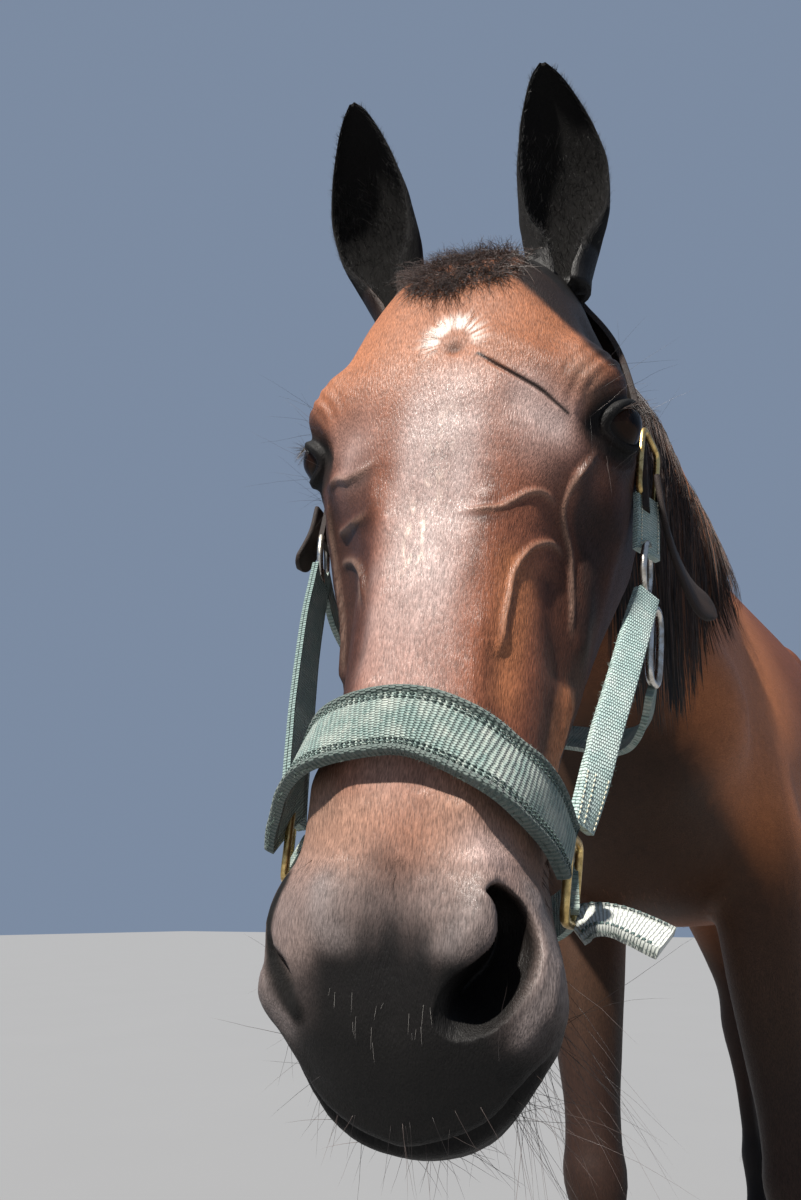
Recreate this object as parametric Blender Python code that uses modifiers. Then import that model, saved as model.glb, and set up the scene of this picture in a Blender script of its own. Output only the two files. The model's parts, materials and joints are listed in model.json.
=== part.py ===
# Thoroughbred horse standing with its neck lowered and its head turned to its left, life size, in a webbing halter.
# Metres, +Z up. The horse faces -Y, and its left side is +X.

import math

import bmesh
import bpy
import numpy as np
from mathutils import Matrix, Vector
from mathutils.bvhtree import BVHTree

# Driving dimensions of the horse, about 1.64 m high at the withers with a head of 0.62 m
FORE_STANCE = {1: 0.146, -1: 0.118}      # how far out the left and right fore hooves stand
HIND_STANCE = 0.125
FORE_STAGGER = 0.07      # the right fore is this far ahead, the left fore this far behind
HIND_STAGGER = 0.05
HOOF_HEIGHT = 0.082
GAP = 0.0003             # what touching pieces keep between them

# The head's place: the poll, how far the face leans out from the vertical, its turn and its roll
POLL = Vector((0.150, -1.075, 1.352))
FACE_LEAN = math.radians(9.7)
HEAD_TURN = math.radians(12.1)
HEAD_ROLL = math.radians(3.35)

# Trunk: forward of the withers, top, bottom, half width, height of the widest line, fullness above and below
TRUNK = [
    (0.385, 1.190, 1.040, 0.060, 1.12, 2.0, 2.0),
    (0.355, 1.260, 0.970, 0.115, 1.12, 2.0, 2.2),
    (0.300, 1.350, 0.915, 0.155, 1.11, 1.9, 2.3),
    (0.200, 1.490, 0.854, 0.185, 1.10, 1.75, 2.3),
    (0.090, 1.602, 0.830, 0.212, 1.10, 1.55, 2.3),
    (0.000, 1.638, 0.820, 0.234, 1.12, 1.5, 2.3),
    (-0.120, 1.620, 0.820, 0.250, 1.13, 1.6, 2.3),
    (-0.260, 1.580, 0.836, 0.266, 1.16, 1.8, 2.2),
    (-0.420, 1.552, 0.864, 0.280, 1.19, 2.0, 2.2),
    (-0.580, 1.556, 0.905, 0.282, 1.21, 2.1, 2.2),
    (-0.720, 1.580, 0.962, 0.268, 1.26, 2.1, 2.2),
    (-0.850, 1.608, 1.014, 0.258, 1.32, 2.1, 2.2),
    (-0.970, 1.612, 1.056, 0.252, 1.34, 2.0, 2.2),
    (-1.100, 1.575, 1.088, 0.232, 1.32, 2.0, 2.2),
    (-1.210, 1.505, 1.120, 0.190, 1.30, 2.0, 2.2),
    (-1.285, 1.430, 1.180, 0.130, 1.30, 2.0, 2.0),
    (-1.320, 1.360, 1.250, 0.060, 1.31, 2.0, 2.0),
]

# Neck: crest forward and height, underline forward and height, half width
NECK = [
    (-0.080, 1.600, 0.230, 0.960, 0.172),
    (0.130, 1.596, 0.400, 1.065, 0.155),
    (0.320, 1.572, 0.520, 1.130, 0.129),
    (0.540, 1.532, 0.635, 1.160, 0.107),
    (0.740, 1.480, 0.735, 1.178, 0.096),
    (0.900, 1.418, 0.810, 1.185, 0.086),
    (1.000, 1.362, 0.860, 1.190, 0.074),
    (1.035, 1.305, 0.900, 1.200, 0.050),
]
NECK_BEND_FROM = 0.10     # forward of here the neck bends to the left
NECK_BEND_POWER = 1.35

# Fore leg: height, forward, half depth, half width, sideways shift of its middle from the stance line
FORE_LEG = [
    (1.100, 0.075, 0.125, 0.060, 0.010),
    (1.000, 0.060, 0.120, 0.074, 0.012),
    (0.920, 0.062, 0.112, 0.081, 0.010),
    (0.840, 0.074, 0.095, 0.073, 0.008),
    (0.750, 0.088, 0.078, 0.064, 0.005),
    (0.650, 0.098, 0.060, 0.052, 0.002),
    (0.560, 0.105, 0.047, 0.043, 0.000),
    (0.525, 0.108, 0.045, 0.044, 0.000),
    (0.495, 0.110, 0.048, 0.049, 0.000),
    (0.465, 0.108, 0.044, 0.046, 0.000),
    (0.430, 0.100, 0.037, 0.034, 0.000),
    (0.380, 0.096, 0.033, 0.025, 0.000),
    (0.300, 0.096, 0.032, 0.0235, 0.000),
    (0.255, 0.097, 0.036, 0.029, 0.000),
    (0.225, 0.099, 0.041, 0.035, 0.000),
    (0.195, 0.106, 0.036, 0.032, 0.000),
    (0.155, 0.124, 0.029, 0.028, 0.000),
    (0.115, 0.142, 0.036, 0.037, 0.000),
    (0.070, 0.157, 0.046, 0.050, 0.000),
    (0.040, 0.165, 0.050, 0.054, 0.000),
]

# Hind leg, in the same order
HIND_LEG = [
    (1.260, -1.040, 0.200, 0.070, 0.020),
    (1.120, -1.020, 0.205, 0.092, 0.026),
    (1.020, -1.010, 0.180, 0.092, 0.030),
    (0.940, -1.020, 0.142, 0.082, 0.028),
    (0.860, -1.060, 0.106, 0.067, 0.020),
    (0.780, -1.110, 0.078, 0.053, 0.012),
    (0.700, -1.165, 0.060, 0.042, 0.006),
    (0.645, -1.200, 0.062, 0.037, 0.002),
    (0.600, -1.215, 0.064, 0.040, 0.000),
    (0.555, -1.212, 0.056, 0.044, 0.000),
    (0.500, -1.205, 0.044, 0.038, 0.000),
    (0.450, -1.202, 0.037, 0.030, 0.000),
    (0.370, -1.200, 0.034, 0.0255, 0.000),
    (0.300, -1.198, 0.034, 0.0255, 0.000),
    (0.262, -1.196, 0.038, 0.030, 0.000),
    (0.232, -1.193, 0.043, 0.036, 0.000),
    (0.200, -1.184, 0.037, 0.033, 0.000),
    (0.158, -1.163, 0.030, 0.029, 0.000),
    (0.115, -1.143, 0.036, 0.036, 0.000),
    (0.070, -1.128, 0.046, 0.048, 0.000),
    (0.040, -1.120, 0.050, 0.052, 0.000),
]

# Head: down the face from the poll, depth of the dorsal line, depth of the jaw line, half width, depth of the
# widest line, fullness above and below
HEAD = [
    (-0.035, 0.092, 0.135, 0.030, 0.112, 2.0, 2.0),
    (-0.020, 0.074, 0.165, 0.052, 0.110, 2.0, 2.0),
    (0.005, 0.056, 0.205, 0.064, 0.104, 2.1, 2.2),
    (0.045, 0.026, 0.244, 0.076, 0.100, 2.3, 2.4),
    (0.090, 0.003, 0.264, 0.088, 0.100, 2.4, 2.5),
    (0.140, -0.009, 0.272, 0.100, 0.095, 2.5, 2.6),
    (0.190, -0.010, 0.266, 0.108, 0.090, 2.6, 2.7),
    (0.240, -0.004, 0.246, 0.105, 0.088, 2.4, 2.7),
    (0.290, 0.002, 0.212, 0.094, 0.098, 2.1, 2.6),
    (0.340, 0.005, 0.178, 0.081, 0.100, 2.1, 2.4),
    (0.390, 0.006, 0.152, 0.069, 0.090, 2.2, 2.2),
    (0.440, 0.006, 0.135, 0.061, 0.076, 2.3, 2.1),
    (0.490, 0.006, 0.126, 0.061, 0.064, 2.4, 2.1),
    (0.525, 0.007, 0.122, 0.065, 0.057, 2.5, 2.1),
    (0.552, 0.012, 0.122, 0.064, 0.057, 2.5, 2.2),
    (0.577, 0.023, 0.118, 0.056, 0.063, 2.4, 2.2),
    (0.596, 0.036, 0.110, 0.044, 0.070, 2.2, 2.2),
    (0.608, 0.050, 0.098, 0.028, 0.075, 2.0, 2.0),
    (0.613, 0.068, 0.084, 0.006, 0.076, 2.0, 2.0),
]

# Eyes, in the head's frame: sideways, down the face, depth
EYE = (0.0940, 0.210, 0.052)
EYE_RADIUS = 0.0215
LID_THICKNESS = 0.0032
LID_OPENING = (0.0205, 0.0125)
GAZE = Vector((0.88, 0.06, -0.42)).normalized()

# Nostrils, in the head's frame, for the left one
NOSTRIL = Vector((0.050, 0.527, 0.018))
NOSTRIL_IN = Vector((-0.62, -0.30, 0.72)).normalized()
NOSTRIL_DOWN = Vector((0.10, 0.96, 0.30)).normalized()
NOSTRIL_ACROSS = NOSTRIL_DOWN.cross(NOSTRIL_IN).normalized()

# Ears: place of each tip in the head's frame; half width, depth and wrap along the ear
EAR_TIPS = {1: (0.0565, -0.130, -0.0125), -1: (-0.1020, -0.120, -0.0245)}
EAR_WIDTH = [(0, 0.024), (0.15, 0.029), (0.35, 0.0355), (0.50, 0.0360), (0.70, 0.030), (0.86, 0.0195),
             (0.95, 0.010), (1, 0.0015)]
EAR_DEPTH = [(0, 0.024), (0.15, 0.027), (0.35, 0.027), (0.60, 0.022), (0.85, 0.011), (1, 0.002)]
EAR_WRAP = [(0, 165), (0.12, 150), (0.30, 118), (0.55, 100), (0.85, 90), (1, 90)]

# Where the head ends, the neck begins and the legs begin
HEAD_CUT = (0.0, -0.005, 0.075)
NECK_CUT = Vector((0.0, -0.25, 1.33))
NECK_CUT_FACING = Vector((0.0, -0.878, 0.479)).normalized()
LEG_CUT = 0.790
FLESH_TRIANGLES = 6500

# Halter, in the head's frame: lines of the straps' middles
NOSEBAND = [(0.0700, 0.474, 0.064), (0.0650, 0.462, 0.042), (0.050, 0.450, 0.012),
            (0.026, 0.437, 0.000), (0.000, 0.429, -0.003), (-0.026, 0.430, -0.001), (-0.052, 0.434, 0.009),
            (-0.074, 0.443, 0.034), (-0.088, 0.456, 0.060), (-0.0945, 0.466, 0.076)]
CHIN_STRAP = [(0.0690, 0.484, 0.097), (0.0660, 0.489, 0.116), (0.050, 0.496, 0.140), (0.013, 0.500, 0.153),
              (-0.025, 0.500, 0.155), (-0.062, 0.495, 0.142), (-0.086, 0.484, 0.116), (-0.0940, 0.472, 0.095)]
STRAP_END = [(0.0675, 0.5045, 0.100), (0.0730, 0.5010, 0.1005), (0.0800, 0.4990, 0.101), (0.0900, 0.4995, 0.102),
             (0.1010, 0.5030, 0.102), (0.1140, 0.5085, 0.101)]
STRAP_END_FACING = [(0.05, -0.86, -0.50), (0.05, -0.86, -0.50)]
CHEEK_LEFT = [(0.0735, 0.4560, 0.087), (0.0790, 0.436, 0.089), (0.0875, 0.400, 0.093), (0.0965, 0.366, 0.098),
              (0.1065, 0.327, 0.103), (0.1135, 0.301, 0.107)]
CHEEK_LEFT_FACING = [(0.92, 0.05, -0.38), (0.70, 0.0, -0.71), (0.60, 0.0, -0.80), (0.60, 0.0, -0.80), (0.85, 0.0, -0.52)]
CHEEK_RIGHT = [(-0.0955, 0.458, 0.085), (-0.101, 0.430, 0.090), (-0.109, 0.385, 0.098), (-0.119, 0.300, 0.108),
               (-0.1205, 0.262, 0.112)]
THROAT = [(0.1135, 0.350, 0.136), (0.108, 0.362, 0.165), (0.096, 0.362, 0.205), (0.060, 0.346, 0.245),
          (0.000, 0.330, 0.262), (-0.065, 0.318, 0.245), (-0.106, 0.304, 0.205), (-0.122, 0.284, 0.155),
          (-0.1215, 0.262, 0.120)]
CROWN = [(0.1160, 0.238, 0.112), (0.1155, 0.190, 0.112), (0.110, 0.130, 0.112), (0.092, 0.060, 0.112),
         (0.060, 0.010, 0.110), (0.000, -0.020, 0.105), (-0.060, 0.010, 0.110), (-0.090, 0.060, 0.112),
         (-0.108, 0.130, 0.112), (-0.118, 0.190, 0.112), (-0.1205, 0.240, 0.112)]
CROWN_END_LEFT = [(0.1245, 0.205, 0.116), (0.1270, 0.232, 0.122), (0.1320, 0.255, 0.132), (0.1420, 0.277, 0.147),
                  (0.1560, 0.290, 0.163)]
CROWN_END_RIGHT = [(-0.1290, 0.208, 0.112), (-0.1310, 0.232, 0.112), (-0.140, 0.258, 0.112)]
# Rings: middle, flat side's direction, long way, long and short radius, bar, squareness, material
RINGS = [
    ("ring_side_left", (0.0690, 0.484, 0.086), (0.98, 0.10, -0.02), (-0.15, 1.0, 0.1), 0.0210, 0.0165, 0.0024, 5.0,
     "brass"),
    ("ring_side_right", (-0.0950, 0.470, 0.085), (-0.92, 0.05, -0.38), (0.05, 1.0, 0.1), 0.0210, 0.0165, 0.0024,
     5.0, "brass"),
    ("ring_cheek_left", (0.1140, 0.2815, 0.108), (0.97, 0.10, -0.10), (0.0, 1.0, 0.1), 0.0180, 0.0125, 0.0023, 2.0,
     "nickel"),
    ("ring_cheek_right", (-0.1215, 0.250, 0.113), (-0.95, 0.1, -0.2), (0.0, 1.0, 0.1), 0.021, 0.014, 0.0024,
     2.0, "nickel"),
    ("ring_snap_left", (0.1160, 0.326, 0.131), (0.92, 0.1, -0.30), (-0.12, 0.97, 0.10), 0.026, 0.0090, 0.0026, 3.0,
     "nickel"),
    ("ring_buckle_left", (0.1185, 0.198, 0.112), (0.95, 0.1, -0.25), (0.0, 1.0, 0.0), 0.027, 0.0175, 0.0023,
     6.0, "brass"),
]

# Tail: line of its middle and its radius along it
TAIL = [(0.0, 1.235, 1.470), (0.0, 1.300, 1.462), (0.0, 1.345, 1.400), (0.0, 1.365, 1.300), (0.0, 1.370, 1.100),
        (0.0, 1.365, 0.850), (0.0, 1.355, 0.600), (0.0, 1.345, 0.420)]
MANE_LOCKS = 22
FORELOCK_LOCKS = 6
TAIL_LOCKS = 15
MANE_LENGTH = [(0.10, 0.16), (0.25, 0.25), (0.40, 0.31), (0.58, 0.31), (0.80, 0.26), (0.96, 0.19)]
TAIL_RADIUS = [(0, 0.028), (0.10, 0.034), (0.25, 0.040), (0.5, 0.058), (0.75, 0.050), (0.92, 0.028), (1, 0.008)]


def smooth_curve(knots, x):
    """Passes smoothly through knots (position, value) without overshoot."""
    k = np.array(sorted(knots), float)
    xs, ys = k[:, 0], k[:, 1]
    step = np.diff(xs)
    slope = np.diff(ys) / step
    tangent = np.zeros(len(xs))
    tangent[0], tangent[-1] = slope[0], slope[-1]
    same_way = slope[:-1] * slope[1:] > 0
    before, after = 2 * step[1:] + step[:-1], step[1:] + 2 * step[:-1]
    safe = np.where(same_way, 1.0, 0.0)
    inner = np.divide(
        before + after,
        before / np.where(same_way, slope[:-1], 1) + after / np.where(same_way, slope[1:], 1),
    )
    tangent[1:-1] = inner * safe
    x = np.clip(x, xs[0], xs[-1])
    i = np.clip(np.searchsorted(xs, x) - 1, 0, len(step) - 1)
    t = (x - xs[i]) / step[i]
    return (
        ys[i] * (1 + 2 * t) * (1 - t) ** 2
        + tangent[i] * step[i] * t * (1 - t) ** 2
        + ys[i + 1] * t * t * (3 - 2 * t)
        + tangent[i + 1] * step[i] * t * t * (t - 1)
    )


def column(table, place):
    """The curve of one column of a table over its first column."""
    return [(row[0], row[place]) for row in table]


def power(value, exponent):
    """A signed power, for superellipse rings."""
    return np.sign(value) * np.abs(value) ** exponent


def add_mesh(name, vertices, faces):
    mesh = bpy.data.meshes.new(name)
    mesh.from_pydata([tuple(map(float, v)) for v in vertices], [], faces)
    obj = bpy.data.objects.new(name, mesh)
    bpy.context.scene.collection.objects.link(obj)
    return obj


def loft(name, rings):
    """A closed skin over rings of equal count, with a flat cap on each end."""
    rings = np.asarray(rings, float)
    rows, count = rings.shape[0], rings.shape[1]
    faces = []
    for i in range(rows - 1):
        for j in range(count):
            k = (j + 1) % count
            faces.append((i * count + j, i * count + k, (i + 1) * count + k, (i + 1) * count + j))
    faces.append(tuple(range(count - 1, -1, -1)))
    faces.append(tuple((rows - 1) * count + j for j in range(count)))
    obj = add_mesh(name, rings.reshape(-1, 3), faces)
    work = bmesh.new()
    work.from_mesh(obj.data)
    bmesh.ops.recalc_face_normals(work, faces=work.faces)
    work.to_mesh(obj.data)
    work.free()
    return obj


def ellipsoid(name, centre, radii, turn=(0.0, 0.0, 0.0), segments=32):
    bpy.ops.mesh.primitive_uv_sphere_add(segments=segments, ring_count=segments // 2, radius=1.0)
    obj = bpy.context.object
    obj.name = name
    place = Matrix.Translation(centre)
    for axis, angle in zip("XYZ", turn):
        place = place @ Matrix.Rotation(math.radians(angle), 4, axis)
    obj.data.transform(place @ Matrix.Diagonal((*radii, 1.0)))
    return obj


def apply_modifiers(obj):
    graph = bpy.context.evaluated_depsgraph_get()
    mesh = bpy.data.meshes.new_from_object(obj.evaluated_get(graph))
    obj.modifiers.clear()
    obj.data = mesh
    return obj


def joined(name, pieces):
    """One object that holds the meshes of several, still as separate shells."""
    work = bmesh.new()
    for piece in pieces:
        work.from_mesh(piece.data)
        bpy.data.objects.remove(piece)
    mesh = bpy.data.meshes.new(name)
    work.to_mesh(mesh)
    work.free()
    obj = bpy.data.objects.new(name, mesh)
    bpy.context.scene.collection.objects.link(obj)
    return obj


def boolean(obj, other, operation, solver="EXACT", keep=False):
    cut = obj.modifiers.new("cut", "BOOLEAN")
    cut.operation, cut.solver, cut.object = operation, solver, other
    apply_modifiers(obj)
    if not keep:
        bpy.data.objects.remove(other)
    return obj


def largest_surface(obj):
    """Keeps the largest closed surface and drops loose scraps."""
    work = bmesh.new()
    work.from_mesh(obj.data)
    bmesh.ops.remove_doubles(work, verts=work.verts, dist=1e-6)
    left = set(work.verts)
    best = set()
    while left:
        seed = left.pop()
        island, edge = {seed}, [seed]
        while edge:
            v = edge.pop()
            for e in v.link_edges:
                other = e.other_vert(v)
                if other not in island:
                    island.add(other)
                    edge.append(other)
        left -= island
        if len(island) > len(best):
            best = island
    bmesh.ops.delete(work, geom=[v for v in work.verts if v not in best], context="VERTS")
    work.to_mesh(obj.data)
    work.free()
    return obj


def trimmed(obj, point, normal):
    """Cuts the object at a plane and keeps the side that the normal points away from, closed."""
    work = bmesh.new()
    work.from_mesh(obj.data)
    everything = work.verts[:] + work.edges[:] + work.faces[:]
    cut = bmesh.ops.bisect_plane(
        work, geom=everything, plane_co=point, plane_no=normal, clear_outer=True, dist=1e-6
    )
    edges = [e for e in cut["geom_cut"] if isinstance(e, bmesh.types.BMEdge)]
    bmesh.ops.holes_fill(work, edges=edges, sides=0)
    bmesh.ops.recalc_face_normals(work, faces=work.faces)
    work.to_mesh(obj.data)
    work.free()
    return obj


def copied(obj, name):
    twin = bpy.data.objects.new(name, obj.data.copy())
    bpy.context.scene.collection.objects.link(twin)
    return twin


# Head frame: sideways to the horse's left, down the face from the poll, in from the face
def head_frame():
    down = Vector((0.0, -math.sin(FACE_LEAN), -math.cos(FACE_LEAN)))
    depth = Vector((0.0, math.cos(FACE_LEAN), -math.sin(FACE_LEAN)))
    side = Vector((1.0, 0.0, 0.0))
    axes = Matrix((side, down, depth)).transposed()
    roll = Matrix.Rotation(HEAD_ROLL, 3, "Y")
    turn = Matrix.Rotation(HEAD_TURN, 3, "Z")
    return Matrix.Translation(POLL) @ (turn @ roll @ axes).to_4x4()


def in_world(points):
    frame = np.array(head_frame())
    points = np.asarray(points, float)
    return points @ frame[:3, :3].T + frame[:3, 3]


def swell(points, centre, reach, push):
    """Moves the points near a centre, on both sides of the head alike."""
    mirrored = points.copy()
    mirrored[..., 0] = np.abs(mirrored[..., 0])
    far = (((mirrored - centre) / reach) ** 2).sum(-1)
    weight = np.exp(-far)[..., None]
    side = np.where(points[..., :1] < 0, -1.0, 1.0)
    move = np.concatenate([side * push[0], np.ones_like(side) * push[1], np.ones_like(side) * push[2]], -1)
    if centre[0] == 0:
        move[..., 0] = 0
    return points + weight * move


def ridge(points, start, end, reach, push):
    """Moves the points near a line, on both sides of the head alike."""
    mirrored = points.copy()
    mirrored[..., 0] = np.abs(mirrored[..., 0])
    start, end = np.array(start), np.array(end)
    line = end - start
    t = np.clip(((mirrored - start) @ line) / (line @ line), 0, 1)[..., None]
    far = (((mirrored - (start + t * line)) / reach) ** 2).sum(-1)
    weight = np.exp(-far)[..., None]
    side = np.where(points[..., :1] < 0, -1.0, 1.0)
    move = np.concatenate([side * push[0], np.ones_like(side) * push[1], np.ones_like(side) * push[2]], -1)
    return points + weight * move


def head_points(rows, count):
    """The head's skin as rings of points in the head frame, without eyes, nostrils and mouth."""
    down = np.concatenate([
        np.linspace(HEAD[0][0], 0.56, rows - rows // 4, endpoint=False),
        0.56 + 0.053 * np.sin(np.linspace(0, math.pi / 2, rows // 4)),
    ])
    top, bottom, half, wide, full_top, full_bottom = (
        smooth_curve(column(HEAD, i), down)[:, None] for i in range(1, 7)
    )
    angle = np.linspace(0, 2 * math.pi, count, endpoint=False)[None, :]
    upper = np.cos(angle) >= 0
    fullness = np.where(upper, full_top, full_bottom)
    side = half * power(np.sin(angle), 2 / fullness)
    rise = power(np.cos(angle), 2 / fullness)
    depth = np.where(upper, wide - (wide - top) * rise, wide - (bottom - wide) * rise)
    points = np.stack([side, np.broadcast_to(down[:, None], side.shape), depth], -1)
    # Brow over each eye, with the hollow above it
    points = swell(points, (0.096, 0.185, 0.030), (0.030, 0.030, 0.026), (0.012, 0.0, -0.006))
    points = swell(points, (0.092, 0.140, 0.045), (0.020, 0.022, 0.022), (-0.008, 0.0, 0.003))
    # Cheek bone behind the eye and crest below it
    points = ridge(points, (0.100, 0.205, 0.085), (0.086, 0.090, 0.105), 0.018, (0.006, 0.0, 0.0))
    points = ridge(points, (0.090, 0.262, 0.078), (0.060, 0.375, 0.088), 0.014, (0.007, 0.0, 0.0))
    # Hollow in front of the eye, beside the nose
    points = swell(points, (0.072, 0.300, 0.045), (0.030, 0.055, 0.024), (-0.010, 0.0, 0.003))
    # Cheek muscle
    points = swell(points, (0.085, 0.185, 0.180), (0.060, 0.085, 0.065), (0.010, 0.0, 0.0))
    # Edge of the nose bone
    points = ridge(points, (0.038, 0.290, 0.006), (0.030, 0.470, 0.008), 0.012, (0.003, 0.0, -0.003))
    # Temple muscles, with a groove between
    points = swell(points, (0.045, 0.075, -0.005), (0.028, 0.050, 0.030), (0.0, 0.0, -0.006))
    # Wings of the nostrils, and the pinch above them
    points = swell(points, (0.058, 0.545, 0.040), (0.026, 0.030, 0.030), (0.010, 0.0, 0.0))
    points = swell(points, (0.040, 0.515, 0.006), (0.020, 0.022, 0.020), (0.004, 0.0, -0.006))
    points = swell(points, (0.052, 0.480, 0.040), (0.020, 0.030, 0.030), (-0.004, 0.0, 0.0))
    # Chin, and the groove behind it
    points = swell(points, (0.0, 0.565, 0.122), (0.035, 0.022, 0.016), (0.0, 0.004, 0.010))
    points = swell(points, (0.0, 0.515, 0.122), (0.050, 0.022, 0.020), (0.0, 0.0, -0.006))
    return points


def make_head_loft():
    points = head_points(130, 96)
    return loft("head_loft", in_world(points))


def make_trunk_loft():
    forward = np.concatenate([
        0.385 - 0.06 * (1 - np.cos(np.linspace(0, math.pi / 2, 8, endpoint=False))),
        np.linspace(0.325, -1.25, 70),
        -1.25 - 0.07 * np.sin(np.linspace(0.2, math.pi / 2, 7)),
    ])
    top, bottom, half, wide, full_top, full_bottom = (
        smooth_curve(column(TRUNK, i), forward)[:, None] for i in range(1, 7)
    )
    angle = np.linspace(0, 2 * math.pi, 64, endpoint=False)[None, :]
    upper = np.cos(angle) >= 0
    fullness = np.where(upper, full_top, full_bottom)
    side = half * power(np.sin(angle), 2 / fullness)
    rise = power(np.cos(angle), 2 / fullness)
    height = np.where(upper, wide + (top - wide) * rise, wide + (wide - bottom) * rise)
    along = np.broadcast_to(-forward[:, None], side.shape)
    return loft("trunk_loft", np.stack([side, along, height], -1))


def neck_bend(forward):
    """How far the neck's middle lies to the left, as it turns towards the head."""
    reach = max(forward - NECK_BEND_FROM, 0.0)
    whole = -POLL.y - NECK_BEND_FROM
    return POLL.x * (reach / whole) ** NECK_BEND_POWER


def make_neck_loft():
    spots = np.linspace(0, 1, 40)
    places = np.linspace(0, 1, len(NECK))
    crest_f, crest_z, under_f, under_z, half = (
        smooth_curve([(p, row[i]) for p, row in zip(places, NECK)], spots) for i in range(5)
    )
    rings = []
    for cf, cz, uf, uz, hw in zip(crest_f, crest_z, under_f, under_z, half):
        middle = Vector((0, -(cf + uf) / 2, (cz + uz) / 2))
        up = Vector((0, -(cf - uf) / 2, (cz - uz) / 2))
        forward = (cf + uf) / 2
        shift = neck_bend(forward)
        turn = Matrix.Rotation(math.atan2(neck_bend(forward + 0.01) - shift, 0.01), 3, "Z")
        side = turn @ Vector((1, 0, 0))
        middle.x = shift
        up = turn @ up
        ring = []
        for t in np.linspace(0, 2 * math.pi, 48, endpoint=False):
            fullness = 1.75 if math.cos(t) > 0 else 2.3
            across = float(power(math.sin(t), 2 / fullness))
            rise = float(power(math.cos(t), 2 / fullness))
            ring.append(middle + side * (hw * across) + up * rise)
        rings.append([tuple(p) for p in ring])
    return loft("neck_loft", rings)


def leg_lean(height, lean):
    """How far the lean carries the leg at a height, none above the joint that it swings from."""
    return lean * (1 - min(max(height, 0.0), 1.0) / 1.0)


def make_leg_loft(name, table, side, stance, lean):
    heights = np.concatenate([np.linspace(table[0][0], 0.30, 36, endpoint=False), np.linspace(0.30, 0.04, 26)])
    forward, depth, half, shift = (smooth_curve(column(table, i), heights) for i in range(1, 5))
    rings = []
    for z, f, d, w, s in zip(heights, forward, depth, half, shift):
        f = f + leg_lean(z, lean)
        angle = np.linspace(0, 2 * math.pi, 28, endpoint=False)
        ring = np.stack([
            side * (stance + s) + w * np.sin(angle),
            -(f + d * np.cos(angle)),
            np.full_like(angle, z),
        ], -1)
        rings.append(ring)
    return loft(name, rings)


def make_muscles():
    """The masses under the skin of the shoulder, chest, forearm, haunch, thigh and hock."""
    muscles = []
    for side in (-1, 1):
        muscles += [
            ellipsoid("shoulder_blade", (side * 0.120, -0.140, 1.300), (0.062, 0.140, 0.250), (-28, side * -10, 0)),
            ellipsoid("shoulder_point", (side * 0.138, -0.270, 1.120), (0.070, 0.110, 0.120)),
            ellipsoid("triceps", (side * 0.172, -0.030, 1.060), (0.058, 0.130, 0.115), (-20, 0, 0)),
            ellipsoid("breast", (side * 0.072, -0.325, 1.060), (0.078, 0.068, 0.105)),
            ellipsoid("elbow", (side * 0.150, 0.030, 0.955), (0.040, 0.055, 0.060)),
            ellipsoid("orbit", tuple(in_world([(side * 0.086, 0.206, 0.056)])[0]), (0.030, 0.034, 0.036)),
            ellipsoid("hip", (side * 0.175, 0.790, 1.430), (0.075, 0.140, 0.090), (0, 0, 0)),
            ellipsoid("haunch", (side * 0.140, 0.990, 1.330), (0.108, 0.250, 0.240)),
            ellipsoid("thigh", (side * 0.145, 1.120, 1.180), (0.088, 0.155, 0.260), (-10, 0, 0)),
            ellipsoid("stifle", (side * 0.165, 0.900, 1.080), (0.062, 0.105, 0.160), (22, 0, 0)),
            ellipsoid("flank", (side * 0.150, 0.780, 1.130), (0.070, 0.130, 0.140), (20, 0, 0)),
        ]
    return muscles


def make_hock_points():
    points = []
    for side, lean in ((1, HIND_STAGGER), (-1, -HIND_STAGGER)):
        shift = leg_lean(0.62, lean)
        points.append(ellipsoid(
            "hock_point", (side * HIND_STANCE, 1.262 - shift, 0.632), (0.019, 0.026, 0.044), (14, 0, 0), 20
        ))
        shift = leg_lean(0.715, lean)
        points.append(ellipsoid(
            "hock_tendon", (side * HIND_STANCE, 1.238 - shift, 0.715), (0.014, 0.019, 0.118), (21, 0, 0), 20
        ))
    return points


LEGS = (
    ("leg_front_left", FORE_LEG, 1, FORE_STANCE[1], -FORE_STAGGER),
    ("leg_front_right", FORE_LEG, -1, FORE_STANCE[-1], FORE_STAGGER),
    ("leg_hind_left", HIND_LEG, 1, HIND_STANCE, HIND_STAGGER),
    ("leg_hind_right", HIND_LEG, -1, HIND_STANCE, -HIND_STAGGER),
)


def vertex_places(obj):
    place = np.zeros(len(obj.data.vertices) * 3)
    obj.data.vertices.foreach_get("co", place)
    return place.reshape(-1, 3)


def in_head(points):
    """World points in the head's frame."""
    frame = np.array(head_frame().inverted())
    return points @ frame[:3, :3].T + frame[:3, 3]


def set_weights(obj, name, weight, steps=20):
    group = obj.vertex_groups.new(name=name)
    level = np.round(weight * steps).astype(int)
    for i in range(1, steps + 1):
        members = np.nonzero(level == i)[0]
        if len(members):
            group.add(members.tolist(), i / steps, "REPLACE")


def blend_weights(obj):
    """Full smoothing where the limbs and the neck join the trunk, none on the head and the lower legs."""
    place = vertex_places(obj)
    local = in_head(place)
    height = np.clip((place[:, 2] - 0.82) / 0.20, 0, 1)
    face = np.clip((local[:, 1] * 0.80 - (local[:, 2] - 0.10) * 0.55 + 0.02) / 0.07, 0, 1)
    face = face * (np.abs(local[:, 0]) < 0.18) * (local[:, 2] < 0.32)
    set_weights(obj, "blend", height * (1 - face))


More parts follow.
